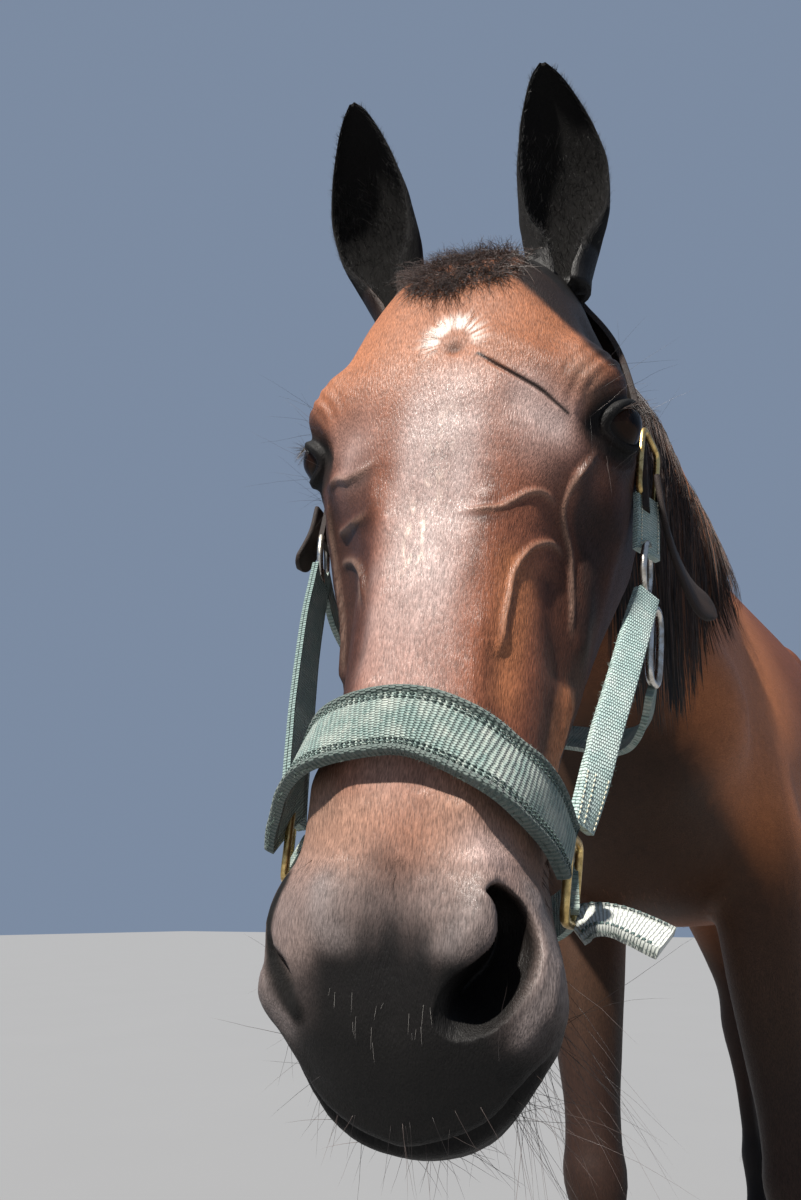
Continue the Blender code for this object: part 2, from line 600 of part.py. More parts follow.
def make_flesh(voxel):
    """Trunk, neck, head, legs and muscles as one smooth closed skin."""
    pieces = [make_trunk_loft(), make_neck_loft(), make_head_loft()]
    pieces += [make_leg_loft(name, table, side, stance, lean) for name, table, side, stance, lean in LEGS]
    pieces += make_muscles() + make_hock_points()
    flesh = joined("flesh", pieces)
    remesh = flesh.modifiers.new("one skin", "REMESH")
    remesh.mode, remesh.voxel_size, remesh.adaptivity = "VOXEL", voxel, 0.0
    apply_modifiers(flesh)
    blend_weights(flesh)
    blend = flesh.modifiers.new("blend", "SMOOTH")
    blend.factor, blend.iterations, blend.vertex_group = 0.5, int(150 * (0.008 / voxel) ** 2), "blend"
    settle = flesh.modifiers.new("settle", "SMOOTH")
    settle.factor, settle.iterations = 0.5, 4
    return apply_modifiers(flesh)


def eye_place(side):
    return Vector(in_world([(side * EYE[0], EYE[1], EYE[2])])[0])


def eye_axes(side):
    """Out of the eye, along the lids from the inner corner to the outer one, and across them."""
    turn = head_frame().to_3x3()
    out = turn @ Vector((side * GAZE.x, GAZE.y, GAZE.z))
    along = turn @ Vector((0, -0.50, 0.86))
    along = (along - out * along.dot(out)).normalized()
    return out, along, out.cross(along)


def eyeball(name, side, radius):
    bpy.ops.mesh.primitive_uv_sphere_add(segments=14, ring_count=9, radius=radius)
    ball = bpy.context.object
    ball.name = name
    out, along, across = eye_axes(side)
    turn = Matrix((along, across, out)).transposed().to_4x4()
    ball.data.transform(Matrix.Translation(eye_place(side)) @ turn)
    return ball


def eye_opening(side):
    """A solid with the outline of the open lids, from inside the eye to outside the head."""
    out, along, across = eye_axes(side)
    centre = eye_place(side)
    rings = []
    for depth, scale in ((0.004, 0.80), (0.018, 0.97), (0.030, 1.20), (0.045, 1.5)):
        ring = []
        for i in range(20):
            t = 2 * math.pi * i / 20
            x = math.cos(t)
            y = math.sin(t) * abs(math.sin(t)) ** 0.25
            ring.append(tuple(centre + out * depth + along * (x * LID_OPENING[0] * scale)
                              + across * (y * LID_OPENING[1] * scale)))
        rings.append(ring)
    return loft("eye_opening", rings)


def nostril_cutter(side):
    """A comma that tapers inwards from the nostril's opening."""
    rings = []
    for depth, scale in ((-0.030, 1.35), (-0.006, 1.12), (0.002, 0.98), (0.014, 0.84), (0.028, 0.62), (0.040, 0.34)):
        ring = []
        for i in range(22):
            t = 2 * math.pi * i / 22
            x = 0.0165 * math.sin(t) * scale
            y = 0.0300 * math.cos(t) * scale
            x += 0.0075 * (y / 0.030) ** 2 - 0.004
            turn = math.radians(-24)
            across = x * math.cos(turn) - y * math.sin(turn)
            down = x * math.sin(turn) + y * math.cos(turn)
            point = NOSTRIL + NOSTRIL_ACROSS * across + NOSTRIL_DOWN * down + NOSTRIL_IN * (depth - 0.25 * down)
            ring.append((side * point.x, point.y, point.z))
        rings.append(ring)
    return loft("nostril_cutter", in_world(np.array(rings)))


def mouth_cutter():
    """A thin wedge along the line between the lips."""
    rings = []
    for x in np.linspace(-0.075, 0.075, 25):
        back = min(1.0, abs(x) / 0.050)
        down = 0.612 - 0.085 * back ** 2.2
        depth = 0.078 + 0.006 * back
        ring = []
        for d, v in ((0.020, -0.0022), (-0.014, -0.0006), (-0.014, 0.0006), (0.020, 0.0022)):
            ring.append((x * (1 + 0.25 * back), down + d, depth + v))
        rings.append(ring)
    return loft("mouth_cutter", in_world(np.array(rings)))


def add_face(flesh):
    """Lids, nostrils and the line of the mouth, in the flesh."""
    for side in (-1, 1):
        lid = eyeball("lid", side, EYE_RADIUS + LID_THICKNESS)
        boolean(flesh, lid, "UNION", "MANIFOLD")
    for side in (-1, 1):
        boolean(flesh, eye_opening(side), "DIFFERENCE", "MANIFOLD")
        boolean(flesh, nostril_cutter(side), "DIFFERENCE", "MANIFOLD")
    boolean(flesh, mouth_cutter(), "DIFFERENCE", "MANIFOLD")
    return flesh


def thinned(flesh, triangles):
    """Fewer triangles, most of them left on the head."""
    place = vertex_places(flesh)
    local = in_head(place)
    head = (np.abs(local[:, 0]) < 0.16) & (local[:, 1] > -0.04) & (local[:, 2] < 0.29)
    set_weights(flesh, "coarse", np.where(head, 0.5, 1.0))
    total = sum(len(face.vertices) - 2 for face in flesh.data.polygons)
    thin = flesh.modifiers.new("thin", "DECIMATE")
    thin.ratio = triangles / total
    thin.use_collapse_triangulate = True
    thin.vertex_group, thin.vertex_group_factor = "coarse", 0.05
    return apply_modifiers(flesh)


def grown(obj, name, distance):
    """A copy of the object with each face moved outwards by the distance."""
    twin = copied(obj, name)
    work = bmesh.new()
    work.from_mesh(twin.data)
    work.normal_update()
    moves = [v.normal * (distance * min(v.calc_shell_factor(), 4.0)) for v in work.verts]
    for vertex, move in zip(work.verts, moves):
        vertex.co += move
    work.to_mesh(twin.data)
    work.free()
    return twin


def near(one, other):
    """Whether the boxes around two objects touch."""
    low, high = vertex_places(one).min(0), vertex_places(one).max(0)
    low_other, high_other = vertex_places(other).min(0), vertex_places(other).max(0)
    return bool(np.all(low < high_other + 0.002) and np.all(low_other < high + 0.002))


def head_cut_plane():
    """A point of the cut between head and neck, and the way that it faces."""
    facing = (head_frame().to_3x3() @ Vector((0.0, -0.823, 0.567))).normalized()
    return Vector(in_world([HEAD_CUT])[0]), facing


def split_flesh(flesh):
    """Head, neck, torso and the four legs with their pasterns, each closed, with a gap at each joint."""
    head_point, head_normal = head_cut_plane()
    neck_point, neck_normal = NECK_CUT, NECK_CUT_FACING
    half = GAP / 2
    parts = {}
    rest = copied(flesh, "rest")
    trimmed(rest, Vector((0, 0, LEG_CUT - half)), Vector((0, 0, 1)))
    trimmed(rest, Vector((0, -0.6, 0)), Vector((0, -1, 0)))
    for name, table, side, stance, lean in LEGS:
        leg = copied(rest, name)
        trimmed(leg, Vector((0, 0, 0)), Vector((-side, 0, 0)))
        trimmed(leg, Vector((0, 0.5, 0)), Vector((0, 1 if table is FORE_LEG else -1, 0)))
        parts[name] = largest_surface(leg)
    bpy.data.objects.remove(rest)
    head = copied(flesh, "head")
    trimmed(head, head_point - head_normal * half, head_normal)
    parts["head"] = largest_surface(head)
    rest = copied(flesh, "rest")
    trimmed(rest, Vector((0, 0, LEG_CUT + half)), Vector((0, 0, -1)))
    trimmed(rest, head_point + head_normal * half, -head_normal)
    neck = copied(rest, "neck")
    trimmed(neck, neck_point + neck_normal * half, -neck_normal)
    parts["neck"] = largest_surface(neck)
    torso = copied(rest, "torso")
    trimmed(torso, neck_point - neck_normal * half, neck_normal)
    parts["torso"] = largest_surface(torso)
    bpy.data.objects.remove(rest)
    return parts


def hoof_cut(table, lean):
    """The slanting plane between pastern and hoof: a point and the way up from the hoof."""
    toe = table[-1][1] + leg_lean(0.04, lean) + 0.100 - 0.80 * HOOF_HEIGHT
    return Vector((0, -toe, HOOF_HEIGHT)), Vector((0, 0.387, 0.922)).normalized()


def make_hoof(name, table, side, stance, lean):
    """A hoof with a flat sole, cut off along the coronet."""
    middle = table[-1][1] + leg_lean(0.04, lean)
    rings = []
    for height in (0.0, 0.012, 0.045, 0.11):
        toe, heel = middle + 0.100 - 0.80 * height, middle - 0.040 - 0.30 * height
        half = 0.0645 - 0.10 * height - (0.0015 if height else 0.0)
        ring = []
        for i in range(22):
            t = 2 * math.pi * i / 22
            across = half * float(power(math.sin(t), 0.92))
            along = (toe + heel) / 2 + (toe - heel) / 2 * math.cos(t) * (1.0 if math.cos(t) > 0 else 0.94)
            ring.append((side * stance + across, -along, height))
        rings.append(ring)
    hoof = loft(name, rings)
    point, up = hoof_cut(table, lean)
    return trimmed(hoof, point - up * (GAP / 2), up)


def make_ear(name, side):
    """A cupped ear on its own stalk, open to the front."""
    frame = head_frame()
    base = Vector((side * 0.063, 0.052, 0.058))
    tip = Vector(EAR_TIPS[side])
    reach = tip - base
    along = reach.normalized()
    front = Vector((side * 0.20, 0.0, -1.0))
    front = (front - along * front.dot(along)).normalized()
    across = along.cross(front)
    if across.x * side < 0:
        across = -across
    rings = []
    for s in np.concatenate([np.linspace(0, 0.82, 9), np.linspace(0.90, 0.995, 4)]):
        half = float(smooth_curve(EAR_WIDTH, s))
        back = float(smooth_curve(EAR_DEPTH, s))
        open_to = math.radians(float(smooth_curve(EAR_WRAP, s)))
        wall = 0.0034 * (1 - 0.55 * s)
        middle = base + reach * s + across * (0.010 * math.sin(math.pi * s)) - front * (0.010 * math.sin(math.pi * s))
        widest = math.sin(min(open_to, math.pi / 2))
        outer, inner = [], []
        for t in np.linspace(-open_to, open_to, 8):
            x, y = math.sin(t) / widest, -math.cos(t)
            outer.append(middle + across * (half * x) + front * (back * y))
            thin = wall * (1.0 - 0.55 * abs(t / open_to) ** 3)
            inner.append(middle + across * ((half - thin) * x * 0.985) + front * ((back - thin) * y + thin * 0.15))
        ring = outer + inner[::-1]
        rings.append([tuple(frame @ p) for p in ring])
    return loft(name, rings)


def smooth_path(points, count):
    """Evenly spaced points on a smooth line through the given ones."""
    points = np.asarray(points, float)
    chord = np.concatenate([[0], np.cumsum(np.linalg.norm(np.diff(points[:, :3], axis=0), axis=1))])
    tangent = np.gradient(points, chord, axis=0)
    fine = np.linspace(0, chord[-1], 400)
    i = np.clip(np.searchsorted(chord, fine, side="right") - 1, 0, len(chord) - 2)
    span = (chord[i + 1] - chord[i])[:, None]
    t = (fine[:, None] - chord[i][:, None]) / span
    line = (
        points[i] * (1 + 2 * t) * (1 - t) ** 2 + tangent[i] * span * t * (1 - t) ** 2
        + points[i + 1] * t * t * (3 - 2 * t) + tangent[i + 1] * span * t * t * (t - 1)
    )
    far = np.concatenate([[0], np.cumsum(np.linalg.norm(np.diff(line[:, :3], axis=0), axis=1))])
    even = np.linspace(0, far[-1], count)
    return np.stack([np.interp(even, far, line[:, k]) for k in range(line.shape[1])], -1)


def strap_rings(line, outward, width, thickness):
    """Rings with slightly rounded edges along a line of points, flat side facing outward."""
    line, outward = np.asarray(line, float), np.asarray(outward, float)
    tangent = np.gradient(line, axis=0)
    tangent /= np.linalg.norm(tangent, axis=1)[:, None]
    out = outward - tangent * (outward * tangent).sum(1)[:, None]
    out /= np.linalg.norm(out, axis=1)[:, None]
    across = np.cross(tangent, out)
    width = np.broadcast_to(width, len(line))
    thickness = np.broadcast_to(thickness, len(line))
    rings = []
    for x, y in ((-0.5, -0.5), (-0.5, 0.2), (-0.44, 0.5), (0.44, 0.5), (0.5, 0.2), (0.5, -0.5)):
        rings.append(line + across * (x * width)[:, None] + out * (y * thickness)[:, None])
    return np.stack(rings, 1)


def lay_on_skin(line, skin, lift):
    """Raises the points that lie closer to the skin than the lift."""
    raised = []
    for point in line:
        near, normal, _, _ = skin.find_nearest(Vector(point))
        height = (Vector(point) - near).dot(normal)
        if height < lift:
            point = tuple(near + normal * lift)
        raised.append(point)
    return np.array(raised)


def make_strap(name, points, width, thickness, count, skin=None, facing=None, lift=0.0008):
    """A strap through points of the head frame, laid on the skin where it meets it."""
    line = in_world(smooth_path(points, count))
    if skin is not None:
        line = lay_on_skin(line, skin, thickness / 2 + lift)
        line[1:-1] = line[1:-1] * 0.5 + (line[:-2] + line[2:]) * 0.25
        line = lay_on_skin(line, skin, thickness / 2 + lift)
    if facing is not None:
        spots = np.linspace(0, 1, len(facing))
        outward = np.stack([np.interp(np.linspace(0, 1, count), spots, [f[k] for f in facing]) for k in range(3)], -1)
        outward = outward @ np.array(head_frame())[:3, :3].T
    else:
        outward = np.array([tuple(skin.find_nearest(Vector(p))[1]) for p in line])
        for _ in range(3):
            outward[1:-1] = (outward[:-2] + outward[1:-1] + outward[2:]) / 3
            outward[0] = outward[1]
            outward[-1] = outward[-2]
    return loft(name, strap_rings(line, outward, width, thickness))


def make_ring(name, centre, normal, long_way, long_radius, short_radius, bar, power_of=2.0):
    """An oval or squared ring of round bar, placed in the head frame."""
    normal, long_way = Vector(normal).normalized(), Vector(long_way)
    long_way = (long_way - normal * long_way.dot(normal)).normalized()
    short_way = normal.cross(long_way)
    rings = []
    count = 16
    path = []
    for i in range(count):
        t = 2 * math.pi * i / count
        a = long_radius * float(power(math.cos(t), 2 / power_of))
        b = short_radius * float(power(math.sin(t), 2 / power_of))
        path.append(Vector(centre) + long_way * a + short_way * b)
    for i in range(count):
        tangent = (path[(i + 1) % count] - path[i - 1]).normalized()
        out = tangent.cross(normal).normalized()
        ring = []
        for k in range(4):
            t = 2 * math.pi * (k + 0.5) / 4
            ring.append(path[i] + out * (bar * math.cos(t)) + normal * (bar * math.sin(t)))
        rings.append([tuple(p) for p in ring])
    points = in_world(np.array(rings)).reshape(-1, 3)
    faces = []
    for i in range(count):
        for k in range(4):
            n, m = (i + 1) % count, (k + 1) % 4
            faces.append((i * 4 + k, i * 4 + m, n * 4 + m, n * 4 + k))
    obj = add_mesh(name, points, faces)
    work = bmesh.new()
    work.from_mesh(obj.data)
    bmesh.ops.recalc_face_normals(work, faces=work.faces)
    work.to_mesh(obj.data)
    work.free()
    return obj


def make_lock(points, outward, width, thickness):
    """A flat lock of hair that tapers to its tip."""
    line = np.asarray(points, float)
    outward = np.asarray(outward, float)
    tangent = np.gradient(line, axis=0)
    tangent /= np.linalg.norm(tangent, axis=1)[:, None]
    out = outward - tangent * (outward * tangent).sum(1)[:, None]
    out /= np.linalg.norm(out, axis=1)[:, None]
    across = np.cross(tangent, out)
    taper = smooth_curve([(0, 0.75), (0.35, 1.0), (0.75, 0.72), (1, 0.10)], np.linspace(0, 1, len(line)))[:, None]
    rings = []
    for x, y in ((-0.5, -0.4), (0.0, 0.6), (0.5, -0.4)):
        rings.append(line + across * (x * width * taper) + out * (y * thickness * (0.4 + 0.6 * taper)))
    return loft("lock", np.stack(rings, 1))


def fused(obj, locks):
    """The object with its locks joined to it by one union."""
    group = bpy.data.collections.new("locks")
    bpy.context.scene.collection.children.link(group)
    for lock in locks:
        group.objects.link(lock)
    join = obj.modifiers.new("join", "BOOLEAN")
    join.operation, join.solver = "UNION", "EXACT"
    join.operand_type, join.collection = "COLLECTION", group
    apply_modifiers(obj)
    for lock in locks:
        bpy.data.objects.remove(lock)
    bpy.data.collections.remove(group)
    return largest_surface(obj)


def crest_point(forward):
    """The top of the neck's crest at a distance forward of the withers."""
    height = float(smooth_curve([(row[0], row[1]) for row in NECK], forward))
    return np.array([neck_bend(forward), -forward, height])


def make_mane(skin):
    """Locks along the crest that hang down the left side of the neck."""
    random = np.random.default_rng(4)
    head_point, head_facing = head_cut_plane()
    locks = []
    for i in range(MANE_LOCKS):
        forward = 0.115 + (i + 0.5) / MANE_LOCKS * 0.845
        root = crest_point(forward)
        length = float(smooth_curve(MANE_LENGTH, forward)) * random.uniform(0.82, 1.12)
        drift = random.uniform(-0.02, 0.035)
        spots = (0.0, 0.18, 0.55, 1.0)
        points, outs = [], []
        for spot in spots:
            height = root[2] + 0.004 - spot * length
            along = root[1] + drift * spot + 0.10 * length * spot
            hit, normal, _, _ = skin.ray_cast(Vector((1.0, along, height)), Vector((-1, 0, 0)))
            if hit is None or spot == 0:
                point, normal = Vector((root[0] + 0.004, along, root[2] - 0.010)), Vector((0.6, 0, 0.8))
            else:
                point = hit + normal * (0.0022 + 0.013 * min(2 * spot, 1) * random.uniform(0.5, 1.0))
            points.append(tuple(point))
            outs.append(tuple(normal))
        lock = make_lock(points, outs, random.uniform(0.044, 0.054), 0.012)
        trimmed(lock, NECK_CUT + NECK_CUT_FACING * (GAP / 2), -NECK_CUT_FACING)
        trimmed(lock, head_point + head_facing * (GAP / 2), -head_facing)
        locks.append(lock)
    return locks


def make_forelock():
    """Short locks that fall from between the ears over the forehead."""
    random = np.random.default_rng(7)
    locks = []
    for i in range(FORELOCK_LOCKS):
        across = -0.036 + 0.058 * (i + 0.5) / FORELOCK_LOCKS
        length = random.uniform(0.080, 0.104) * (1 - 0.25 * abs(across) / 0.036)
        points, outs = [], []
        for spot in np.linspace(0, 1, 4):
            down = 0.018 + spot * length
            depth = float(smooth_curve(column(HEAD, 1), down)) - 0.0005 - 0.0045 * spot
            points.append((across * (1 + 0.35 * spot) + 0.006 * spot + 0.004 * math.sin(i * 2.4) * spot, down, depth))
            outs.append((0.0, -0.35 * (1 - spot), -1.0))
        frame = np.array(head_frame())[:3, :3]
        locks.append(make_lock(in_world(points), np.array(outs) @ frame.T, random.uniform(0.017, 0.022), 0.009))
    return locks


def make_tail():
    """The dock with a tapering core of hair, and the locks that hang around it."""
    line = smooth_path(TAIL, 16)
    radius = smooth_curve(TAIL_RADIUS, np.linspace(0, 1, 16))
    rings = []
    for point, r in zip(line, radius):
        ring = []
        for k in range(10):
            t = 2 * math.pi * k / 10
            ring.append((point[0] + r * 0.85 * math.sin(t), point[1] + r * math.cos(t), point[2]))
        rings.append(ring)
    tail = loft("tail", rings)
    random = np.random.default_rng(11)
    locks = []
    for i in range(TAIL_LOCKS):
        turn = 2 * math.pi * i / TAIL_LOCKS * 2.0 + random.uniform(-0.2, 0.2)
        start = random.uniform(0.10, 0.42)
        end = random.uniform(0.74, 1.0)
        points, outs = [], []
        for spot in np.linspace(start, end, 5):
            share = (spot - start) / (end - start)
            middle = np.array([np.interp(spot, np.linspace(0, 1, 16), line[:, k]) for k in range(3)])
            r = float(smooth_curve(TAIL_RADIUS, spot)) * (0.86 + 0.12 * math.sin(share * 5 + i)) + 0.012 * share
            out = np.array([math.sin(turn) * 0.85, math.cos(turn), 0.0])
            points.append(tuple(middle + out * r - np.array([0, 0, 0.05 * share])))
            outs.append(tuple(out))
        locks.append(make_lock(points, outs, random.uniform(0.038, 0.050), 0.016))
    return tail, locks


MATERIALS = {
    "coat_bay": ((0.23, 0.085, 0.035, 1), 0.0, 0.55),
    "coat_black": ((0.018, 0.014, 0.012, 1), 0.0, 0.6),
    "hair_black": ((0.014, 0.011, 0.010, 1), 0.0, 0.5),
    "hoof_horn": ((0.045, 0.038, 0.033, 1), 0.0, 0.45),
    "eye_dark": ((0.02, 0.012, 0.008, 1), 0.0, 0.05),
    "webbing_green": ((0.10, 0.20, 0.17, 1), 0.0, 0.85),
    "webbing_pale": ((0.25, 0.38, 0.34, 1), 0.0, 0.85),
    "leather_brown": ((0.055, 0.028, 0.018, 1), 0.0, 0.5),
    "brass": ((0.72, 0.52, 0.20, 1), 1.0, 0.35),
    "nickel": ((0.72, 0.70, 0.66, 1), 1.0, 0.28),
}


def finish_object(obj, material):
    obj.data.materials.clear()
    mat = bpy.data.materials.get(material)
    if mat is None:
        colour, metal, rough = MATERIALS[material]
        mat = bpy.data.materials.new(material)
        mat.use_nodes = True
        shader = mat.node_tree.nodes["Principled BSDF"]
        shader.inputs["Base Color"].default_value = colour
        shader.inputs["Metallic"].default_value = metal
        shader.inputs["Roughness"].default_value = rough
        mat.diffuse_color = colour
    obj.data.materials.append(mat)
    obj.data.name = obj.name
    return obj


def clear_scene():
    for obj in list(bpy.data.objects):
        bpy.data.objects.remove(obj)


def lowest_to_floor():
    """Moves everything so that the box around it stands centred on the origin."""
    low, high = Vector((1e9,) * 3), Vector((-1e9,) * 3)
    for obj in bpy.data.objects:
        for vertex in obj.data.vertices:
            for axis in range(3):
                low[axis] = min(low[axis], vertex.co[axis])
                high[axis] = max(high[axis], vertex.co[axis])
    move = Matrix.Translation((-(low.x + high.x) / 2, -(low.y + high.y) / 2, -low.z))
    for obj in bpy.data.objects:
        obj.data.transform(move)
    return move


def make_halter(skin):
    """The straps and fittings of the halter, laid on the skin, each as a solid of its own."""
    nodes = {}
    nodes["noseband"] = (make_strap("noseband", NOSEBAND, 0.036, 0.0070, 24, skin), "webbing_green")
    nodes["chin_strap"] = (make_strap("chin_strap", CHIN_STRAP, 0.026, 0.0050, 18, skin), "webbing_green")
    nodes["strap_end"] = (make_strap("strap_end", STRAP_END, 0.034, 0.0060, 12, None, STRAP_END_FACING), "webbing_green")
    nodes["cheek_strap_left"] = (make_strap("cheek_strap_left", CHEEK_LEFT, 0.025, 0.0060, 12, None, CHEEK_LEFT_FACING),
                                 "webbing_pale")
    nodes["cheek_strap_right"] = (make_strap("cheek_strap_right", CHEEK_RIGHT, 0.025, 0.0060, 11, skin),
                                  "webbing_pale")
    nodes["throat_strap"] = (make_strap("throat_strap", THROAT, 0.026, 0.0050, 22, skin), "webbing_green")
    nodes["crown_strap"] = (make_strap("crown_strap", CROWN, 0.026, 0.0050, 18, skin, None, 0.0025), "leather_brown")
    nodes["crown_end_left"] = (make_strap("crown_end_left", CROWN_END_LEFT, 0.026, 0.0042, 12, skin), "leather_brown")
    nodes["crown_end_right"] = (make_strap("crown_end_right", CROWN_END_RIGHT, 0.024, 0.0042, 8, skin),
                                "leather_brown")
    for name, centre, normal, long_way, long_radius, short_radius, bar, square, material in RINGS:
        ring = make_ring(name, centre, normal, long_way, long_radius, short_radius, bar, square)
        nodes[name] = (ring, material)
    return nodes


def build():
    clear_scene()
    flesh = make_flesh(0.008)
    add_face(flesh)
    thinned(flesh, FLESH_TRIANGLES)
    skin_mesh = bmesh.new()
    skin_mesh.from_mesh(flesh.data)
    skin = BVHTree.FromBMesh(skin_mesh)
    skin_mesh.free()
    around = grown(flesh, "around", GAP * 1.2)
    parts = split_flesh(flesh)
    bpy.data.objects.remove(flesh)

    for name, table, side, stance, lean in LEGS:
        point, up = hoof_cut(table, lean)
        trimmed(parts[name], point + up * (GAP / 2), -up)
        largest_surface(parts[name])
        make_hoof(name.replace("leg", "hoof"), table, side, stance, lean)
    for side, label in ((1, "left"), (-1, "right")):
        boolean(parts["head"], eyeball("socket", side, EYE_RADIUS + GAP), "DIFFERENCE")
        eyeball("eye_" + label, side, EYE_RADIUS)
        ear = make_ear("ear_" + label, side)
        boolean(ear, around, "DIFFERENCE", keep=True)
        largest_surface(ear)
    largest_surface(parts["head"])
    fused(parts["head"], make_forelock())
    fused(parts["neck"], make_mane(skin))
    tail, locks = make_tail()
    for piece in [tail] + locks:
        boolean(piece, around, "DIFFERENCE", keep=True)
    fused(tail, locks)

    halter = make_halter(skin)
    order = sorted(halter, key=lambda name: not name.startswith("ring"))
    clearances = {name: grown(halter[name][0], "clearance", GAP * 2) for name in order}
    for place, name in enumerate(order):
        piece = halter[name][0]
        boolean(piece, around, "DIFFERENCE", keep=True)
        if not name.startswith("ring"):
            for other in order[:place]:
                if near(piece, clearances[other]):
                    boolean(piece, clearances[other], "DIFFERENCE", keep=True)
        largest_surface(piece)
    for clearance in clearances.values():
        bpy.data.objects.remove(clearance)
    bpy.data.objects.remove(around)

    materials = {"neck": "coat_bay", "head": "coat_bay", "torso": "coat_bay", "tail": "hair_black"}
    for obj in list(bpy.data.objects):
        name = obj.name
        if name in halter:
            finish_object(obj, halter[name][1])
        elif name.startswith("leg") or name.startswith("ear"):
            finish_object(obj, "coat_black")
        elif name.startswith("hoof"):
            finish_object(obj, "hoof_horn")
        elif name.startswith("eye"):
            finish_object(obj, "eye_dark")
        else:
            finish_object(obj, materials[name])
    return lowest_to_floor()


MOVE = build()
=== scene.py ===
import json
from math import atan2, cos, pi, radians, sin

import bmesh
import bpy
import numpy as np
from mathutils import Matrix, Vector, noise
from mathutils.bvhtree import BVHTree

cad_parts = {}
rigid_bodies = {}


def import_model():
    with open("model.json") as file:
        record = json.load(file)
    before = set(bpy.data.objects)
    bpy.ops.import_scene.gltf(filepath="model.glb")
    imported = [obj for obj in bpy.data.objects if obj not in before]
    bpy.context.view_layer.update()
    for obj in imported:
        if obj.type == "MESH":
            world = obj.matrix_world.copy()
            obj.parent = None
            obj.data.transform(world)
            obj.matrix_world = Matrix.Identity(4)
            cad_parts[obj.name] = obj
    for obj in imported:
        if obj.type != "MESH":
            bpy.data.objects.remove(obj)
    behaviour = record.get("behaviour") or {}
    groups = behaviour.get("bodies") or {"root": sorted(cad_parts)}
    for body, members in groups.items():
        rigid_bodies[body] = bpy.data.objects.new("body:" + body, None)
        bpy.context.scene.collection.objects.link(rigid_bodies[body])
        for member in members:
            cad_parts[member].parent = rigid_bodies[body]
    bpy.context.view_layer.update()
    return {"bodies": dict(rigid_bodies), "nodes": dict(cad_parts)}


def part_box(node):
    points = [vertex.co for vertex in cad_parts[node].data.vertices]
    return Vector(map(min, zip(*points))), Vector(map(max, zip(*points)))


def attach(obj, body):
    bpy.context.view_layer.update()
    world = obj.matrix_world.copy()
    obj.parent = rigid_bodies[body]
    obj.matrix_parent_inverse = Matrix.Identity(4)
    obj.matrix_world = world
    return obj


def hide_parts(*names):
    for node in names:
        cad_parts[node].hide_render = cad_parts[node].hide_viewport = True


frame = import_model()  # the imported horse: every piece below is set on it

nodes = frame["nodes"]
print("horse: frame loaded,", len(nodes), "solids")

# The head's place: poll, lean of the face, turn and roll, as in the solids
headPose = {"poll": (0.15, -1.075, 1.352), "lean": 9.7, "turn": 12.1, "roll": 3.35}
eyeSpec = {"place": (0.094, 0.21, 0.052), "radius": 0.0215, "gaze": (0.88, 0.06, -0.42),
           "opening": (0.0195, 0.0102), "drop": 0.0034}
stance = {"foreLeft": 0.146, "foreRight": 0.118, "hind": 0.125,
          "foreStagger": 0.07, "hindStagger": 0.05, "hoof": 0.082}


def curve(knots, x):  # a smooth line through (place, value) knots, without overshoot
    k = np.array(sorted(knots), float)
    xs, ys = k[:, 0], k[:, 1]
    step = np.diff(xs)
    slope = np.diff(ys) / step
    tangent = np.zeros(len(xs))
    tangent[0], tangent[-1] = slope[0], slope[-1]
    sameWay = slope[:-1] * slope[1:] > 0
    before, after = 2 * step[1:] + step[:-1], step[1:] + 2 * step[:-1]
    inner = (before + after) / (before / np.where(sameWay, slope[:-1], 1) + after
            / np.where(sameWay, slope[1:], 1))
    tangent[1:-1] = np.where(sameWay, inner, 0.0)
    x = np.clip(x, xs[0], xs[-1])
    i = np.clip(np.searchsorted(xs, x) - 1, 0, len(step) - 1)
    t = (x - xs[i]) / step[i]
    bend = tangent[i] * step[i] * t * (1 - t) ** 2 + tangent[i + 1] * step[i] * t * t * (t - 1)
    return ys[i] * (1 + 2 * t) * (1 - t) ** 2 + ys[i + 1] * t * t * (3 - 2 * t) + bend


def ease(low, high, x):
    t = np.clip((np.asarray(x, float) - low) / (high - low), 0, 1)
    return t * t * (3 - 2 * t)


def bell(gap, reach, sharp=2):  # 1 in the middle, falling away past the reach
    return np.exp(-(gap / reach) ** sharp)


def lengthOf(rows):
    return np.linalg.norm(rows, axis=1)


def tenths(values):  # whole numbers in a table are tenths of a millimetre
    if isinstance(values, dict):
        return {key: tenths(value) for key, value in values.items()}
    if isinstance(values, (list, tuple)):
        return type(values)(tenths(value) for value in values)
    return values / 10000 if isinstance(values, int) else values


def column(table, i):
    return [(row[0], row[i]) for row in table]


def power(value, exponent):
    return np.sign(value) * np.abs(value) ** exponent


def shares(count):
    return np.linspace(0, 1, count)


def circle(count):
    return np.linspace(0, 2 * pi, count, endpoint=False)


def runOf(line):  # how far each point of a line lies along it
    return np.concatenate([[0], np.cumsum(lengthOf(np.diff(line, axis=0)))])


def deselectAll():
    for obj in bpy.context.selected_objects:
        obj.select_set(False)


def select(first, *others):  # these alone, the first one active
    deselectAll()
    for obj in (first, *others):
        obj.select_set(True)
    bpy.context.view_layer.objects.active = first


def applyModifiers(obj):
    select(obj)
    for modifier in list(obj.modifiers):
        bpy.ops.object.modifier_apply(modifier=modifier.name)
    return obj


def link(obj):
    bpy.context.scene.collection.objects.link(obj)


